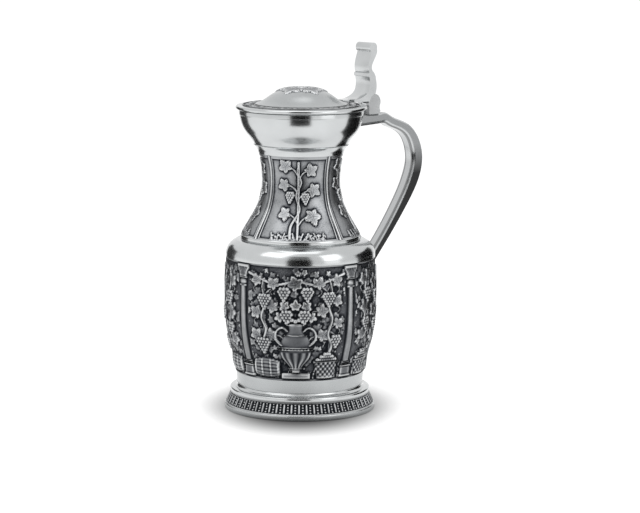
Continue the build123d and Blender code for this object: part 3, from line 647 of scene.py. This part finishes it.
# Where the relief's forms stand, as in the frame: harvest and vineyard panels on the drum, four
# vine panels on the neck. Column bases hold each step's foot, top, half width and rise, leaves
# their middle, its height and their reach, bunches their middle, top and drop, barrels their
# middle, half length and half height, and baskets their middle, half width and height.
GROUND_LINE = 2.2
HARVEST_AZIMUTHS = (45, 225)
VINEYARD_AZIMUTHS = (135, 315)
COLUMN_AZIMUTHS = (90, 180, 270)
COLUMN_BASE = (
    (0, 2, 6.3, 1.9), (2, 8.5, 4.9, 1.5), (8.5, 10, 5.6, 2), (10, 11.6, 4.6, 1.7), (11.6, 13, 3.9, 1.9),
)
URN_OUTLINE = (
    (11.5, 1.2), (11.5, 6.6), (3.4, 7.6), (4.6, 11), (11.8, 20), (12.8, 29),
    (9.2, 38), (5.6, 43), (7.2, 48.2), (12.8, 52), (12.4, 59), (7, 65.5),
)
HARVEST_BARREL = (-27, 11, 8.4)
HARVEST_BASKET = (27.5, 10, 14)
VINEYARD_BARREL = (27, 10.5, 7.8)
VINEYARD_BASKET = (-27.5, 9.5, 12.5)
HARVEST_LEAVES = (
    (-34, 37.5, 6.6), (-20, 38.5, 6.2), (-33, 56, 6.8), (-18.5, 62, 6.6), (22, 38, 6.6),
    (35, 47.5, 6), (21, 58.5, 6.8), (34, 66, 6.2), (-33, 82, 6.2), (-18, 80, 6.4),
    (0, 80, 7.2), (18.5, 80.5, 6.4), (33.5, 82.5, 6.2),
)
HARVEST_BUNCHES = (
    (-27.5, 36, 16), (-26, 72, 15), (-9.5, 78, 13), (9.5, 78, 13), (34, 38.5, 12.5), (27, 74, 14),
)
HARVEST_SWAG = ((-42, 88), (-30, 84), (-12, 80), (0, 83), (14, 80), (30, 84), (42, 88))
VINEYARD_LEAVES = (
    (-13.5, 32, 7), (13.5, 39, 7.2), (-14, 53.5, 7.2), (14, 61.5, 7), (-13.5, 77, 7.2),
    (13, 82, 6.6), (-33, 36, 6.6), (-31, 58, 6.8), (-33, 81, 6.2), (33.5, 30, 6.6),
    (31, 52, 6.8), (33, 78, 6.2),
)
VINEYARD_BUNCHES = (
    (9.5, 30, 14), (-9, 46.5, 14), (9.5, 54, 12), (-9, 70, 12),
    (-29.5, 50, 12), (29.5, 44, 12), (28.5, 70, 13), (-27.5, 74, 13),
)
NECK_LEAVES = (
    (-10.5, 58.5, 6.2), (9.5, 55.5, 5.8), (-11.5, 44, 5.4),
    (12, 40, 6), (-10.5, 21, 5.6), (12, 19.5, 6.8),
)
NECK_LEAF_TURNS = (125, 30, 205, -35, 200, -80)
NECK_BUNCHES = ((-6.8, 38.5, 10.5), (5.4, 37.5, 10.5))
NECK_TRUNK = ((-4.6, 13), (1.2, 25), (-2.2, 36), (2.6, 46), (-1, 55), (0.6, 61))
GROUND_LEAVES = 900
GROUND_BERRIES = 700
GRASS_BLADES = 190

# The drum's outer line, as in the frame: its foot, belly and top radii and how it swells
DRUM_FOOT = reach("waist_band")
DRUM_TOP = reach("shoulder") - 0.8
DRUM_BELLY = DRUM_TOP + 0.4
DRUM_SWELL = ((0.0, 0.0), (0.14, 0.22), (0.29, 0.64), (0.47, 0.93), (0.7, 1.0), (1.0, 0.955))
NECK_FOOT = reach("lower_neck_collar") - 1.3
NECK_WAIST_FALL = 17.5
NECK_TOP_RISE = 3.3
NECK_MIDDLE = 38.0
WAIST_FLARE = 1.0
BORDER_LEAN = 4.2
DOME_LIP = 1.2
WALL = 2.4


def evenly(line, low, high, count):
    """The line's points at even heights."""
    z = np.linspace(low, high, count)
    return np.stack([np.interp(z, line[:, 1], line[:, 0]), z], axis=-1)


def drum_line(count):
    """(radius, height) up the drum, evenly in height."""
    low, high = heights("body_drum")
    line = shares_line(DRUM_SWELL, DRUM_FOOT, DRUM_BELLY, low, high, 400)
    return evenly(line, low, high, count)


def neck_line(count):
    """(radius, height) up the waisted neck, evenly in height."""
    low, high = heights("neck")
    waist = NECK_FOOT - NECK_WAIST_FALL
    rise = high - low
    lower = ((0.0, 1.0), (0.18, 0.6), (0.38, 0.19), (0.7, 0.0))
    points = [(waist + out * NECK_WAIST_FALL, low + up * rise) for up, out in lower]
    points.append((waist + 0.35 * NECK_TOP_RISE, low + 0.87 * rise))
    points.append((waist + NECK_TOP_RISE, high))
    return evenly(cubic(points, 400), low, high, count)


def column_relief(relief, u, foot, top):
    """A turned column on a pedestal: base, tapering shaft, bulb and fluted capital."""
    for low, high, half, height in COLUMN_BASE:
        relief.slab(u, foot + (low + high) / 2, half, (high - low) / 2, height, edge=0.45)
    shaft_low, shaft_high = foot + 13.0, top - 18.0
    cells, x, y = relief.near(u, (shaft_low + shaft_high) / 2, (shaft_high - shaft_low) / 2)
    share = (y / (shaft_high - shaft_low)) + 0.5
    half = 3.3 - 0.7 * share
    relief.lift(cells, 1.5 * np.sqrt(np.maximum(1 - (x / half) ** 2, 0)) * (np.abs(x) < half))
    relief.slab(u, shaft_high + 0.6, 4.0, 0.6, 1.55, edge=0.4)
    relief.bump(u, shaft_high + 3.6, 3.9, 2.9, 1.6)
    relief.slab(u, shaft_high + 7.0, 4.3, 0.7, 1.55, edge=0.4)
    for k in range(7):
        lean = (k - 3) / 3
        flute = [(u + lean * 3.2, shaft_high + 8.2), (u + lean * 4.2, top - 5.5), (u + lean * 6, top - 2.6)]
        relief.stem(flute, (0.75, 0.95), 1.5)
    relief.slab(u, top - 1.3, 7.0, 1.3, 1.7, edge=0.5)


def urn_relief(relief, u):
    """An urn on a plinth with a fluted belly and two scrolled handles, heaped with fruit."""
    low, high = URN_OUTLINE[1][1], URN_OUTLINE[-4][1]
    profile = cubic(URN_OUTLINE[2:9], 80)
    relief.slab(u, 3.9, URN_OUTLINE[0][0], 2.7, 1.6, edge=0.5)
    relief.slab(u, 3.0, URN_OUTLINE[0][0], 0.5, 1.9, edge=0.4)
    cells, x, y = relief.near(u, 27, 24)
    y = y + 27
    half = np.interp(y, profile[:, 1], profile[:, 0])
    inside = (y > low) & (y < high) & (np.abs(x) < half)
    across = np.clip(x / half, -1, 1)
    flutes = 0.3 * np.cos(np.arcsin(across) * 12) * smooth_step((y - 9) / 3) * smooth_step((25 - y) / 2)
    relief.lift(cells, np.where(inside, 2.2 * np.sqrt(1 - across**2) + flutes + 0.3, 0))
    for ring in (10.6, 26.0, 28.0, 38.5, 47.4):
        band = np.interp(ring, profile[:, 1], profile[:, 0])
        relief.slab(u, ring, band + 0.5, 0.6, 2.9, edge=0.45)
    for lobe in range(9):
        relief.bump(u + (lobe - 4) / 4.4 * 11.6, 27.0, 0.9, 0.8, 2.9)
    for side in (-1, 1):
        curl = [(11.4, 30), (16.0, 34.5), (15.4, 42), (10.0, 44.6), (6.6, 42.0)]
        relief.stem([(u + side * a, b) for a, b in curl], (1.2, 0.8), 2.0)
        relief.bump(u + side * 16.6, 35.0, 1.4, 1.4, 2.2)
        relief.grapes(u + side * 7.2, 58.0, 4, 1.5, 1.8, 0.9)
        relief.leaf(u + side * 12.5, 53.5, 5.6, 90 - side * 110, 1.7, 0.6)
        relief.leaf(u + side * 8.5, 62.0, 5.8, 90 - side * 45, 1.7, 0.8)
    relief.leaf(u, 62.5, 6.2, 90, 1.8, 1.0)
    for k in range(5):
        relief.bump(u + (k - 2) * 2.9, 50.2 + 1.2 * (k % 2), 2.0, 2.0, 2.3, base=0.7)


def barrel_relief(relief, u, v, half, tall):
    """A lying barrel seen from its side, with staves and hoops."""
    cells, x, y = relief.near(u, v, half * 1.1)
    edge = tall * (1 - 0.22 * (x / half) ** 2)
    inside = (np.abs(x) < half) & (np.abs(y) < edge)
    round_in = np.sqrt(np.maximum(1 - (y / edge) ** 2, 0))
    staves = 0.4 * np.abs(np.cos(np.arcsin(np.clip(y / edge, -1, 1)) * 8)) ** 8
    hoops = sum(0.55 * np.exp(-(((np.abs(x) - at * half) / 0.8) ** 4)) for at in (0.34, 0.9))
    relief.lift(cells, np.where(inside, 2.1 * round_in - staves + hoops * round_in + 0.3, 0))


def basket_relief(relief, u, foot, half, tall):
    """A wicker basket, wider at its rim, heaped with grapes."""
    cells, x, y = relief.near(u, foot + tall / 2, max(half * 1.3, tall))
    y = y + tall / 2
    edge = half * (0.72 + 0.28 * y / tall)
    inside = (y > 0) & (y < tall) & (np.abs(x) < edge)
    round_in = np.sqrt(np.maximum(1 - (x / edge) ** 2, 0))
    weave = 0.4 * np.sin(x * 1.7 + np.pi * np.floor(y / 2.3)) * np.abs(np.sin(y * np.pi / 2.3))
    relief.lift(cells, np.where(inside, 2.0 * round_in + weave + 0.25, 0))
    relief.slab(u, foot + tall, half + 0.6, 0.9, 2.5, edge=0.6)
    relief.slab(u, foot + 0.7, half * 0.74, 0.7, 2.0, edge=0.5)
    for count, high, base in ((9, 1.9, 0.4), (6, 4.4, 0.6), (3, 6.6, 0.7)):
        for k in range(count):
            lean = (k - (count - 1) / 2) * 2.05 * half / 10
            relief.bump(u + lean, foot + tall + high, 1.7, 1.7, 1.8, base=base)


def vine(relief, u, leaves, bunches, draw):
    """A panel's vine leaves and hanging bunches, with the shoots that carry them."""
    for k, (middle, height, size) in enumerate(leaves):
        x = u + middle
        side = 1 if middle > 0 else -1
        pull = 0.45 if abs(middle) < 25 else 0.78
        shoot = [(u + middle * pull, height - 7), (u + middle * (pull + 0.1), height - 2), (x, height)]
        relief.stem(shoot, (0.7, 0.5), 1.2)
        turn = 90 - side * 55 + 35 * math.sin(2.4 * k + middle)
        relief.leaf(x, height, size * 1.12, turn, 1.5, 0.35)
        curl = draw.uniform(2, 4)
        low = height - size
        tendril = [(x, height - size * 0.6), (x + side * curl, low), (x + side * 1.2, low - curl)]
        relief.stem(tendril, (0.45, 0.3), 0.9)
    for middle, top, drop in bunches:
        across = 4 if drop < 13.5 else 5
        berry = drop / (2.1 * across)
        relief.grapes(u + middle, top - 1.5, across, berry, 1.6, 0.5)
        relief.stem([(u + middle * 0.8, top + 4), (u + middle, top - 1)], (0.7, 0.5), 1.3)


def twisted_stem(relief, u, low, high, sway, thick):
    """A stake with a vine's trunk winding round it."""
    relief.stem([(u, low), (u, high)], (0.55 * thick, 0.45 * thick), 1.1)
    count = max(int((high - low) / 7), 3)
    path = [
        (u + sway * math.sin(k * 2.1) * (1 - 0.5 * k / count), low + (high - low) * k / count)
        for k in range(count + 1)
    ]
    relief.stem(path, (thick, 0.5 * thick), 1.9)


def ground_relief(relief, foot, draw):
    """Low foliage over the ground, and tufts of grass along its foot."""
    for _ in range(GROUND_LEAVES):
        relief.leaf(
            draw.uniform(0, relief.width),
            draw.uniform(foot + 10, relief.tall - 3),
            draw.uniform(2.4, 4.2),
            draw.uniform(0, 360),
            draw.uniform(0.5, 1.15),
        )
    for _ in range(GROUND_BERRIES):
        size = draw.uniform(0.5, 1.0)
        spot = draw.uniform(0, relief.width), draw.uniform(foot, relief.tall - 2)
        relief.bump(*spot, size, size, draw.uniform(0.3, 0.8))
    for _ in range(GRASS_BLADES):
        u = draw.uniform(0, relief.width)
        tall = draw.uniform(3.0, 9.0)
        lean = draw.uniform(-2.5, 2.5)
        blade = [(u, foot), (u + lean * 0.4, foot + tall * 0.6), (u + lean, foot + tall)]
        relief.stem(blade, (0.5, 0.3), 1.0)


def frieze():
    """The drum: two panels with an urn among the harvest and two with a staked vine."""
    columns, rows = FRIEZE_CELLS
    line = drum_line(rows)
    low, high = heights("body_drum")
    tall = high - low
    width = 2 * np.pi * DRUM_BELLY
    relief = Relief(width, tall, columns, rows, line[:, 0] / DRUM_BELLY)
    draw = np.random.default_rng(11)
    relief.h += 0.12 * draw.random(relief.h.shape)
    foot = GROUND_LINE
    ground_relief(relief, foot, draw)
    for azimuth in HARVEST_AZIMUTHS:
        u = azimuth / 360 * width
        relief.stem([(u + a, b) for a, b in HARVEST_SWAG], (1.2, 1.2), 1.5)
        twisted_stem(relief, u + 28.5, 23.0, 84.0, 2.2, 1.6)
        twisted_stem(relief, u - 26.5, 36.0, 84.0, 2.4, 1.5)
        vine(relief, u, HARVEST_LEAVES, HARVEST_BUNCHES, draw)
        barrel_relief(relief, u + HARVEST_BARREL[0], foot + 8.0, *HARVEST_BARREL[1:])
        basket_relief(relief, u + HARVEST_BASKET[0], foot - 0.5, *HARVEST_BASKET[1:])
        urn_relief(relief, u)
    for azimuth in VINEYARD_AZIMUTHS:
        u = azimuth / 360 * width
        twisted_stem(relief, u, foot, 88.0, 3.0, 2.2)
        twisted_stem(relief, u - 29.5, 34.0, 88.0, 2.2, 1.5)
        twisted_stem(relief, u + 29.5, 28.0, 88.0, 2.2, 1.5)
        vine(relief, u, VINEYARD_LEAVES, VINEYARD_BUNCHES, draw)
        barrel_relief(relief, u + VINEYARD_BARREL[0], foot + 7.4, *VINEYARD_BARREL[1:])
        basket_relief(relief, u + VINEYARD_BASKET[0], foot - 0.5, *VINEYARD_BASKET[1:])
    for azimuth in COLUMN_AZIMUTHS:
        u = azimuth / 360 * width
        relief.clear(u, 4.5, 2.5)
        column_relief(relief, u, foot - 0.6, tall - 0.6)
    relief.clear(0.0, 11, 1.5)
    relief.slab(0.0, tall / 2, 10.6, tall / 2, 0.35, edge=0.6)
    relief.h = np.maximum(relief.h, 0.7 * relief.borders(1.1, 1.0, 0.5))
    turn = relief.u / width * 2 * np.pi
    box_reach = (reach("body_drum") - 0.02) / np.maximum(np.abs(np.cos(turn)), np.abs(np.sin(turn)))
    relief.h = np.minimum(relief.h, box_reach - line[:, :1])
    dress(relief_wall("frieze_drum", line, WALL, relief, 2.0), "body_drum", "jug", ANTIQUED)


def neck():
    """The waisted neck: four panels of staked vine between plain ridges."""
    columns, rows = NECK_CELLS
    line = neck_line(rows)
    low, high = heights("neck")
    tall = high - low
    width = 2 * np.pi * NECK_MIDDLE
    relief = Relief(width, tall, columns, rows, line[:, 0] / NECK_MIDDLE)
    draw = np.random.default_rng(5)
    relief.h += 0.05 * draw.random(relief.h.shape)

    def widen(height):
        return NECK_MIDDLE / np.interp(height, line[:, 1] - low, line[:, 0])

    for quarter in range(4):
        u = width * (quarter / 4 + 0.125)
        relief.stem([(u, 1.6), (u, 62.0)], (1.0, 0.75), 1.2)
        trunk = [(u - 6.0 * widen(2.0), 2), *((u + a, b) for a, b in NECK_TRUNK)]
        relief.stem(trunk, (1.1, 0.55), 1.3)
        for (middle, height, size), turn in zip(NECK_LEAVES, NECK_LEAF_TURNS):
            wide = widen(height)
            near, far = middle * 0.4 * wide, middle * 0.8 * wide
            relief.stem([(u, height - 8), (u + near, height - 2), (u + far, height)], (0.55, 0.4), 0.9)
            relief.leaf(u + middle * wide, height, size * 1.25, turn, 1.05, 0.15)
        for middle, height, drop in NECK_BUNCHES:
            relief.grapes(u + middle * widen(height), height - 1.2, 4, drop / 8.4, 1.1, 0.2)
        for _ in range(60):
            spot = u + draw.uniform(-19, 19), draw.uniform(0.6, 4.6)
            relief.bump(*spot, 1.4, 0.8, 0.7, draw.uniform(0, 180))
        for k in range(10):
            spot = u + (k - 4.5) * 3.8
            relief.stem([(spot, 1.0), (spot + draw.uniform(-2.5, 2.5), 6.0)], (0.5, 0.3), 0.8)
        ridge = width * quarter / 4
        for off, half, height in ((0.0, 1.5, 1.5), (-2.3, 0.55, 0.7), (2.3, 0.55, 0.7)):
            relief.stem([(ridge + off, 0), (ridge + off, tall)], (half, half), height)
    relief.h = np.maximum(relief.h, 0.6 * relief.borders(1.2, 2.6, 0.5))
    dress(relief_wall("vine_neck", line, WALL, relief, 1.5), "neck", "jug", ANTIQUED_NECK)


def foot_border():
    """The foot's border: upright bars with columns of beads between them."""
    low, high = heights("foot_ornament_band")
    tall = high - low
    foot = reach("foot_ornament_band")
    top = foot - BORDER_LEAN
    rows = 26
    z = np.linspace(low, high, rows)
    share = (z - low) / tall
    line = np.stack([foot + (top - foot) * share - 0.8 * 4 * share * (1 - share), z], axis=-1)
    columns = BORDER_REPEATS * BORDER_CELLS_EACH
    width = 2 * np.pi * foot
    relief = Relief(width, tall, columns, rows)
    step = width / BORDER_REPEATS
    relief.h -= 0.5
    for k in range(BORDER_REPEATS):
        relief.bump(k * step, tall / 2, 0.95, 0.44 * tall, 1.4, base=-0.5, power=0.4)
        for j in range(4):
            relief.bump((k + 0.5) * step, 1.5 + j * (tall - 3) / 3, 0.8, 0.7, 0.8, base=-0.5)
    relief.h = np.maximum(relief.h, -0.5 + 0.8 * relief.borders(0.7, 0.6, 0.3))
    dress(relief_wall("foot_border", line, 2.6, relief, 1.1), "foot_ornament_band", "jug", ANTIQUED)


def foot_ring():
    """The plain band that the flagon stands on."""
    low, high = heights("foot_ring")
    outer, inner = reach("foot_ring"), reach("base_plate")
    ring = [(inner, low), *arc((outer - 1.0, low + 1.0), 1.0, 1.0, -90, 0)]
    ring += [*arc((outer - 1.2, high - 1.2), 1.2, 1.2, 0, 90), (inner, high)]
    dress(lathe("foot_ring_turned", ring), "foot_ring", "jug", SATIN_TURNED)


def foot_step():
    """The polished step over the border, a roll and a cove."""
    low, high = heights("foot_step")
    border_top = reach("foot_ornament_band") - BORDER_LEAN
    waist = reach("waist_band") - WAIST_FLARE
    cove = waist + 1.8
    bulge, band = 0.7, 2.1
    step = [(border_top - 3.2, low), (border_top, low)]
    step += [*arc((reach("foot_step") - bulge, low + band), bulge, band, -80, 85, 13)]
    step += [(cove + 0.3, low + 4.3), (cove, low + 4.6)]
    step += [*cubic([(cove, low + 4.6), (waist + 0.3, low + 5.8), (waist, high - 0.35)], 8)]
    step += [(waist - 0.35, high), (waist - WALL, high)]
    dress(lathe("foot_step_turned", step), "foot_step", "jug", POLISHED)


def waist_band():
    """The satin band under the frieze, wider at its top."""
    low, high = heights("waist_band")
    top = reach("waist_band")
    foot = top - WAIST_FLARE
    band = [(foot - WALL, low), (foot - 0.4, low), (foot, low + 0.4)]
    band += [(top, high - 0.4), (top - 0.4, high), (top - WALL, high)]
    dress(lathe("waist_band_turned", band), "waist_band", "jug", SATIN_TURNED)


def shoulder():
    """The bright shoulder, a shell that sweeps up to the neck."""
    low, high = heights("shoulder")
    edge, collar = reach("shoulder"), reach("lower_neck_collar")
    band_z = low + 4.0
    rise = high - band_z

    def shoulder_line(shrink):
        sweep = [
            (edge - shrink, band_z),
            (edge - 1.2 - shrink, band_z + 0.34 * rise),
            (edge - 3.6 - shrink, band_z + 0.68 * (rise - shrink)),
            (collar + 3.4 - shrink, high - shrink),
        ]
        return [(edge - shrink, low + 0.3), *cubic(sweep, 28), (collar - WALL, high - shrink)]

    inside = shoulder_line(WALL)[::-1]
    outline = [(edge - 0.3, low), *shoulder_line(0.0), *inside[:-1], (edge - WALL, low)]
    dress(lathe("shoulder_turned", outline), "shoulder", "jug", POLISHED)


def lower_collar():
    """The polished ring at the foot of the neck."""
    low, high = heights("lower_neck_collar")
    collar = reach("lower_neck_collar")
    seat, bulge = collar - WALL - 1.0, 0.8
    round_edge = arc((collar - bulge, (low + high) / 2), bulge, (high - low) / 2, -80.214, 80.214, 13)
    ring = [(seat, low), (collar - bulge, low), *round_edge, (collar - bulge, high), (seat, high)]
    dress(lathe("lower_collar_turned", ring), "lower_neck_collar", "jug", POLISHED)


def upper_collar():
    """The polished flared ring over the neck."""
    low, high = heights("upper_neck_collar")
    outer = reach("upper_neck_collar")
    neck_top = NECK_FOOT - NECK_WAIST_FALL + NECK_TOP_RISE
    flare = cubic([(neck_top + 0.9, low), (neck_top + 2.3, (low + high) / 2), (outer, high - 0.4)], 12)
    ring = [(neck_top - WALL, low), *flare, (outer - 0.35, high), (outer - WALL - 0.8, high)]
    dress(lathe("upper_collar_turned", ring), "upper_neck_collar", "jug", POLISHED)


def bowl():
    """The cup-shaped mouth."""
    low, high = heights("bowl")
    shares = ((0.0, 0.0), (0.14, 0.17), (0.4, 0.57), (0.69, 0.86), (1.0, 1.0))
    outside = shares_line(shares, reach("upper_neck_collar") - 0.7, reach("bowl"), low, high, 40)
    inside = outside[::-1] - np.array([WALL, 0])
    dress(lathe("bowl_turned", [*outside, *inside]), "bowl", "jug", POLISHED)


def bowl_rim():
    """The thick rounded band round the mouth."""
    low, high = heights("bowl_rim")
    outer = reach("bowl_rim")
    inner = outer - 3.7
    rim = [(inner, low), (reach("bowl"), low), (outer, low + 0.4)]
    rim += [*arc((outer - 0.9, high - 0.9), 0.9, 0.9, 0, 90)]
    rim += [*arc((inner + 0.8, high - 0.8), 0.8, 0.8, 90, 180)]
    dress(lathe("bowl_rim_turned", rim), "bowl_rim", "jug", POLISHED)


def dome_line():
    """(radius, height) from the dome's lip to its crown."""
    low, high = heights("lid_dome")
    edge = reach("lid_dome")
    rise = high - low - DOME_LIP
    shares = ((1.0, 0.0), (0.86, 0.16), (0.62, 0.62), (0.34, 0.91), (0.0, 1.0))
    return cubic([(out * edge, low + DOME_LIP + up * rise) for out, up in shares], 48)


def medallion():
    """Five vine leaves with small bunches between them, cast on the dome's crown."""
    cells, side, sunk, thick = MEDALLION_CELLS, 48.0, 0.35, 1.2
    tall = side * (cells - 1) / cells
    relief = Relief(side, tall, cells, cells)

    def spot(azimuth, far):
        turn = math.radians(azimuth)
        return side / 2 + far * math.cos(turn), side / 2 + far * math.sin(turn)

    for azimuth in range(48, 408, 72):
        relief.leaf(*spot(azimuth, 12.5), 10.5, azimuth, 1.0, sunk + 0.35)
        relief.grapes(*spot(azimuth + 36, 9.5), 3, 1.2, 0.9, sunk + 0.1, azimuth + 126)
    relief.bump(side / 2, side / 2, 3.2, 3.2, 1.3, base=sunk)
    x, y = relief.u - side / 2, relief.v - side / 2
    line = dome_line()[::-1]
    crown = np.interp(np.hypot(x, y), line[:, 0], line[:, 1])
    upper = np.stack([x, y, crown - sunk + relief.h], axis=-1)
    lower = np.stack([x, y, crown - thick], axis=-1)
    points = np.concatenate([upper, lower])
    under = cells * cells
    faces = grid_faces(cells, cells, wrap=False)
    faces += [face[::-1] for face in grid_faces(cells, cells, first=under, wrap=False)]
    last = cells - 1
    ring = [*range(last), *(row * cells + last for row in range(last))]
    ring += [last * cells + column for column in range(last, 0, -1)]
    ring += [row * cells for row in range(last, 0, -1)]
    for a, b in zip(ring, ring[1:] + ring[:1]):
        faces.append((under + a, under + b, b, a))
    piece = relief_object("vine_medallion", points, faces, relief, 1.2)
    dress(piece, "lid_medallion", "lid", ANTIQUED_NECK)


def lid_plate():
    """The lid's flat disc, with a rounded edge and a groove round the ornament."""
    low, high = heights("lid_plate")
    outer = reach("lid_plate")
    half = (high - low) / 2
    plate = [(34.0, low), (outer - half - 0.8, low)]
    plate += [*arc((outer - half, (low + high) / 2), half, half, -90, 90, 17)]
    plate += [(49.6, high), (49.2, high - 0.35), (48.8, high), (34.0, high)]
    dress(lathe("lid_plate_turned", plate), "lid_plate", "lid", POLISHED)


def lid_dome():
    """The low satin dome, a shell under its curve."""
    low, _ = heights("lid_dome")
    edge = reach("lid_dome")
    outline = [(edge - 3, low), (edge - 0.2, low), (edge, low + 0.3), *dome_line()]
    outline += [(0.0, low + 8.0), (edge - 12, low + 2.0)]
    dress(lathe("lid_dome_turned", outline), "lid_dome", "lid", SATIN_TURNED)


def ring_ornament():
    """The lid's ring: a running scroll with leaves and bunches between plain borders."""
    low, _ = heights("lid_ornament_ring")
    outer = reach("lid_ornament_ring")
    inner = reach("lid_dome") + 0.6
    broad = outer - inner
    columns, rows = RING_CELLS
    middle = (outer + inner) / 2
    width = 2 * np.pi * middle
    relief = Relief(width, broad, columns, rows)
    draw = np.random.default_rng(3)
    relief.h += 0.05 * draw.random(relief.h.shape)
    step = width / RING_REPEATS
    half = broad / 2
    for k in range(RING_REPEATS):
        side = 1 if k % 2 else -1
        u = k * step
        scroll = [(u, half - side * 1.2), (u + step / 2, half + side * 1.6), (u + step, half + side * 1.2)]
        relief.stem(scroll, (0.5, 0.5), 0.6)
        relief.leaf(u + step * 0.5, half - side * 1.2, 2.9, -side * 90 + 20, 0.7, 0.05)
        relief.grapes(u + step, half + side * 0.6 + 1.0, 3, 0.62, 0.5, 0.1)
    relief.h = np.minimum(np.maximum(relief.h, 0.75 * relief.borders(0.7, 0.7, 0.3)), 0.95)
    turn = np.linspace(0, 2 * np.pi, columns, endpoint=False)
    radius = np.linspace(inner, outer, rows)
    upper = wrapped(radius[:, None], low + 0.05 + relief.h, turn)
    tang_low, _ = corners("thumbpiece")
    under_tang = (upper[..., 0] > tang_low[0] - 0.3) & (np.abs(upper[..., 1]) < 5.9)
    upper[..., 2] = np.where(under_tang, low + 0.02, upper[..., 2])
    lower = upper[[-1, 0]]
    lower[..., 2] = low
    points = np.concatenate([upper, lower])
    faces = [face[::-1] for face in tube_faces(columns, rows + 2)]
    piece = relief_object("lid_ornament", points, faces, relief, 0.7)
    dress(piece, "lid_ornament_ring", "lid", ANTIQUED)


CAST_FINISH = {
    "base_plate": SATIN,
    "lid_locating_rim": SATIN,
    "thumbpiece": BRIGHT_CAST,
    "hinge_pin": SATIN,
    "hinge_lug_near": SATIN,
    "hinge_lug_far": SATIN,
    # The handle's strap carries painted reflection bands and painted shade on its sides
    "handle": PAINTED_REFLECTION_STRAP,
    "handle_foot": SATIN,
}


def cast_nodes():
    """The frame's own cast pieces get their finish."""
    for node, finish in CAST_FINISH.items():
        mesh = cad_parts[node].data
        mesh.materials.clear()
        mesh.materials.append(finish)


place_camera()
studio()
for build in (foot_ring, foot_step, waist_band, shoulder, lower_collar, upper_collar, bowl, bowl_rim):
    build()
for build in (lid_plate, lid_dome, medallion, frieze, neck, foot_border, ring_ornament):
    build()
cast_nodes()

bpy.context.view_layer.update()
